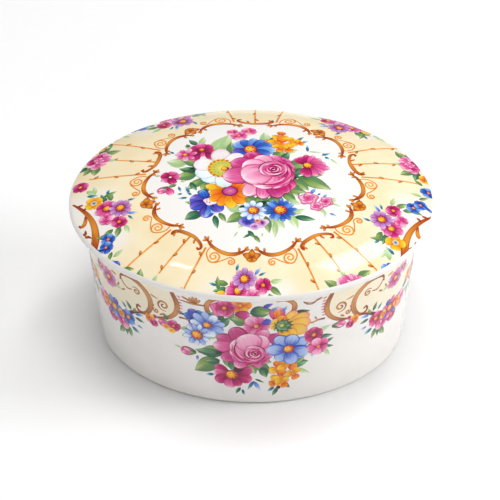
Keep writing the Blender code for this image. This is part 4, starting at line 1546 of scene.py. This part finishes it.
class TRINKET_OT_lid_porcelain(bpy.types.Operator):
    """Turns the domed lid, with its flange and rounded rim"""

    bl_idname = "trinket.lid_porcelain"
    bl_label = "Lid porcelain"

    def execute(self, context):
        outline = lid_outline(context.scene.trinket_sizes.dome_steps)
        tip = SEAT - FLANGE_DEPTH + 0.35

        def material_of(centre, normal):
            if centre.z > DOME_BASE and normal.z > 0:
                return 0
            return 2 if centre.z < tip else 1

        lid = turned("lid_porcelain", outline, [cream_glaze(), white_glaze(), biscuit()], material_of)
        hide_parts("box_lid")
        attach(lid, "lid")
        return {"FINISHED"}


class TRINKET_OT_base_porcelain(bpy.types.Operator):
    """Turns the open base, with its lip and foot ring"""

    bl_idname = "trinket.base_porcelain"
    bl_label = "Base porcelain"

    def execute(self, context):
        base = turned(
            "base_porcelain",
            base_outline(),
            [white_glaze(), biscuit()],
            lambda centre, normal: 1 if centre.z < 0.12 else 0,
        )
        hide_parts("box_base")
        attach(base, "base")
        return {"FINISHED"}


class TRINKET_OT_lid_border(bpy.types.Operator):
    """Paints the lid's scroll frame, spirals, rays, sprays and border roses"""

    bl_idname = "trinket.lid_border"
    bl_label = "Lid border"

    def execute(self, context):
        for drawing in (spirals_and_rays, panel_scrolls, end_scrolls, border_sprays, border_roses):
            drawing().lay("lid", "lid_porcelain")
        return {"FINISHED"}


class TRINKET_OT_lid_bouquet(bpy.types.Operator):
    """Paints the bouquet in the middle of the lid"""

    bl_idname = "trinket.lid_bouquet"
    bl_label = "Lid bouquet"

    def execute(self, context):
        for drawing in (bouquet_leaves, bouquet_flowers, bouquet_anemone, bouquet_rose):
            drawing().lay("lid", "lid_porcelain")
        return {"FINISHED"}


class TRINKET_OT_wall_panels(bpy.types.Operator):
    """Paints the wall's cream panels, scrolls and garlands"""

    bl_idname = "trinket.wall_panels"
    bl_label = "Wall panels"

    def execute(self, context):
        for drawing in (cream_panels, wall_scrolls, wall_garlands):
            drawing().lay("base", "base_porcelain")
        return {"FINISHED"}


class TRINKET_OT_wall_bouquets(bpy.types.Operator):
    """Paints the bouquets on the front and the back of the wall"""

    bl_idname = "trinket.wall_bouquets"
    bl_label = "Wall bouquets"

    def execute(self, context):
        wall_bouquet("base_front_bouquet", 0.0, 41).lay("base", "base_porcelain")
        wall_bouquet("base_back_bouquet", WALL_FACE.round / 2, 42).lay("base", "base_porcelain")
        return {"FINISHED"}


class TRINKET_OT_stage(bpy.types.Operator):
    """Sets the floor, the camera and the soft studio light"""

    bl_idname = "trinket.stage"
    bl_label = "Stage"

    def execute(self, context):
        settings = context.scene.trinket_stage
        context.scene.view_settings.view_transform = "Standard"
        studio_floor()
        studio_camera(settings)
        studio_light(settings)
        return {"FINISHED"}


STEPS = (
    TRINKET_OT_lid_porcelain,
    TRINKET_OT_base_porcelain,
    TRINKET_OT_lid_border,
    TRINKET_OT_lid_bouquet,
    TRINKET_OT_wall_panels,
    TRINKET_OT_wall_bouquets,
    TRINKET_OT_stage,
)


class TRINKET_PT_panel(bpy.types.Panel):
    """Lists the steps that build the box's looks"""

    bl_label = "Trinket box"
    bl_idname = "TRINKET_PT_panel"
    bl_space_type = "VIEW_3D"
    bl_region_type = "UI"
    bl_category = "Trinket Box"

    def draw(self, context):
        column = self.layout.column()
        for step in STEPS:
            column.operator(step.bl_idname)


SETTINGS = {
    "trinket_glazes": TrinketGlazes,
    "trinket_enamels": TrinketEnamels,
    "trinket_sizes": TrinketSizes,
    "trinket_stage": TrinketStage,
}


def register():
    for name, group in SETTINGS.items():
        bpy.utils.register_class(group)
        setattr(bpy.types.Scene, name, bpy.props.PointerProperty(type=group))
    for step in STEPS:
        bpy.utils.register_class(step)
    bpy.utils.register_class(TRINKET_PT_panel)


def unregister():
    bpy.utils.unregister_class(TRINKET_PT_panel)
    for step in reversed(STEPS):
        bpy.utils.unregister_class(step)
    for name, group in SETTINGS.items():
        delattr(bpy.types.Scene, name)
        bpy.utils.unregister_class(group)


def main():
    register()
    for step in STEPS:
        group, name = step.bl_idname.split(".")
        getattr(getattr(bpy.ops, group), name)()


if __name__ == "__main__":
    main()
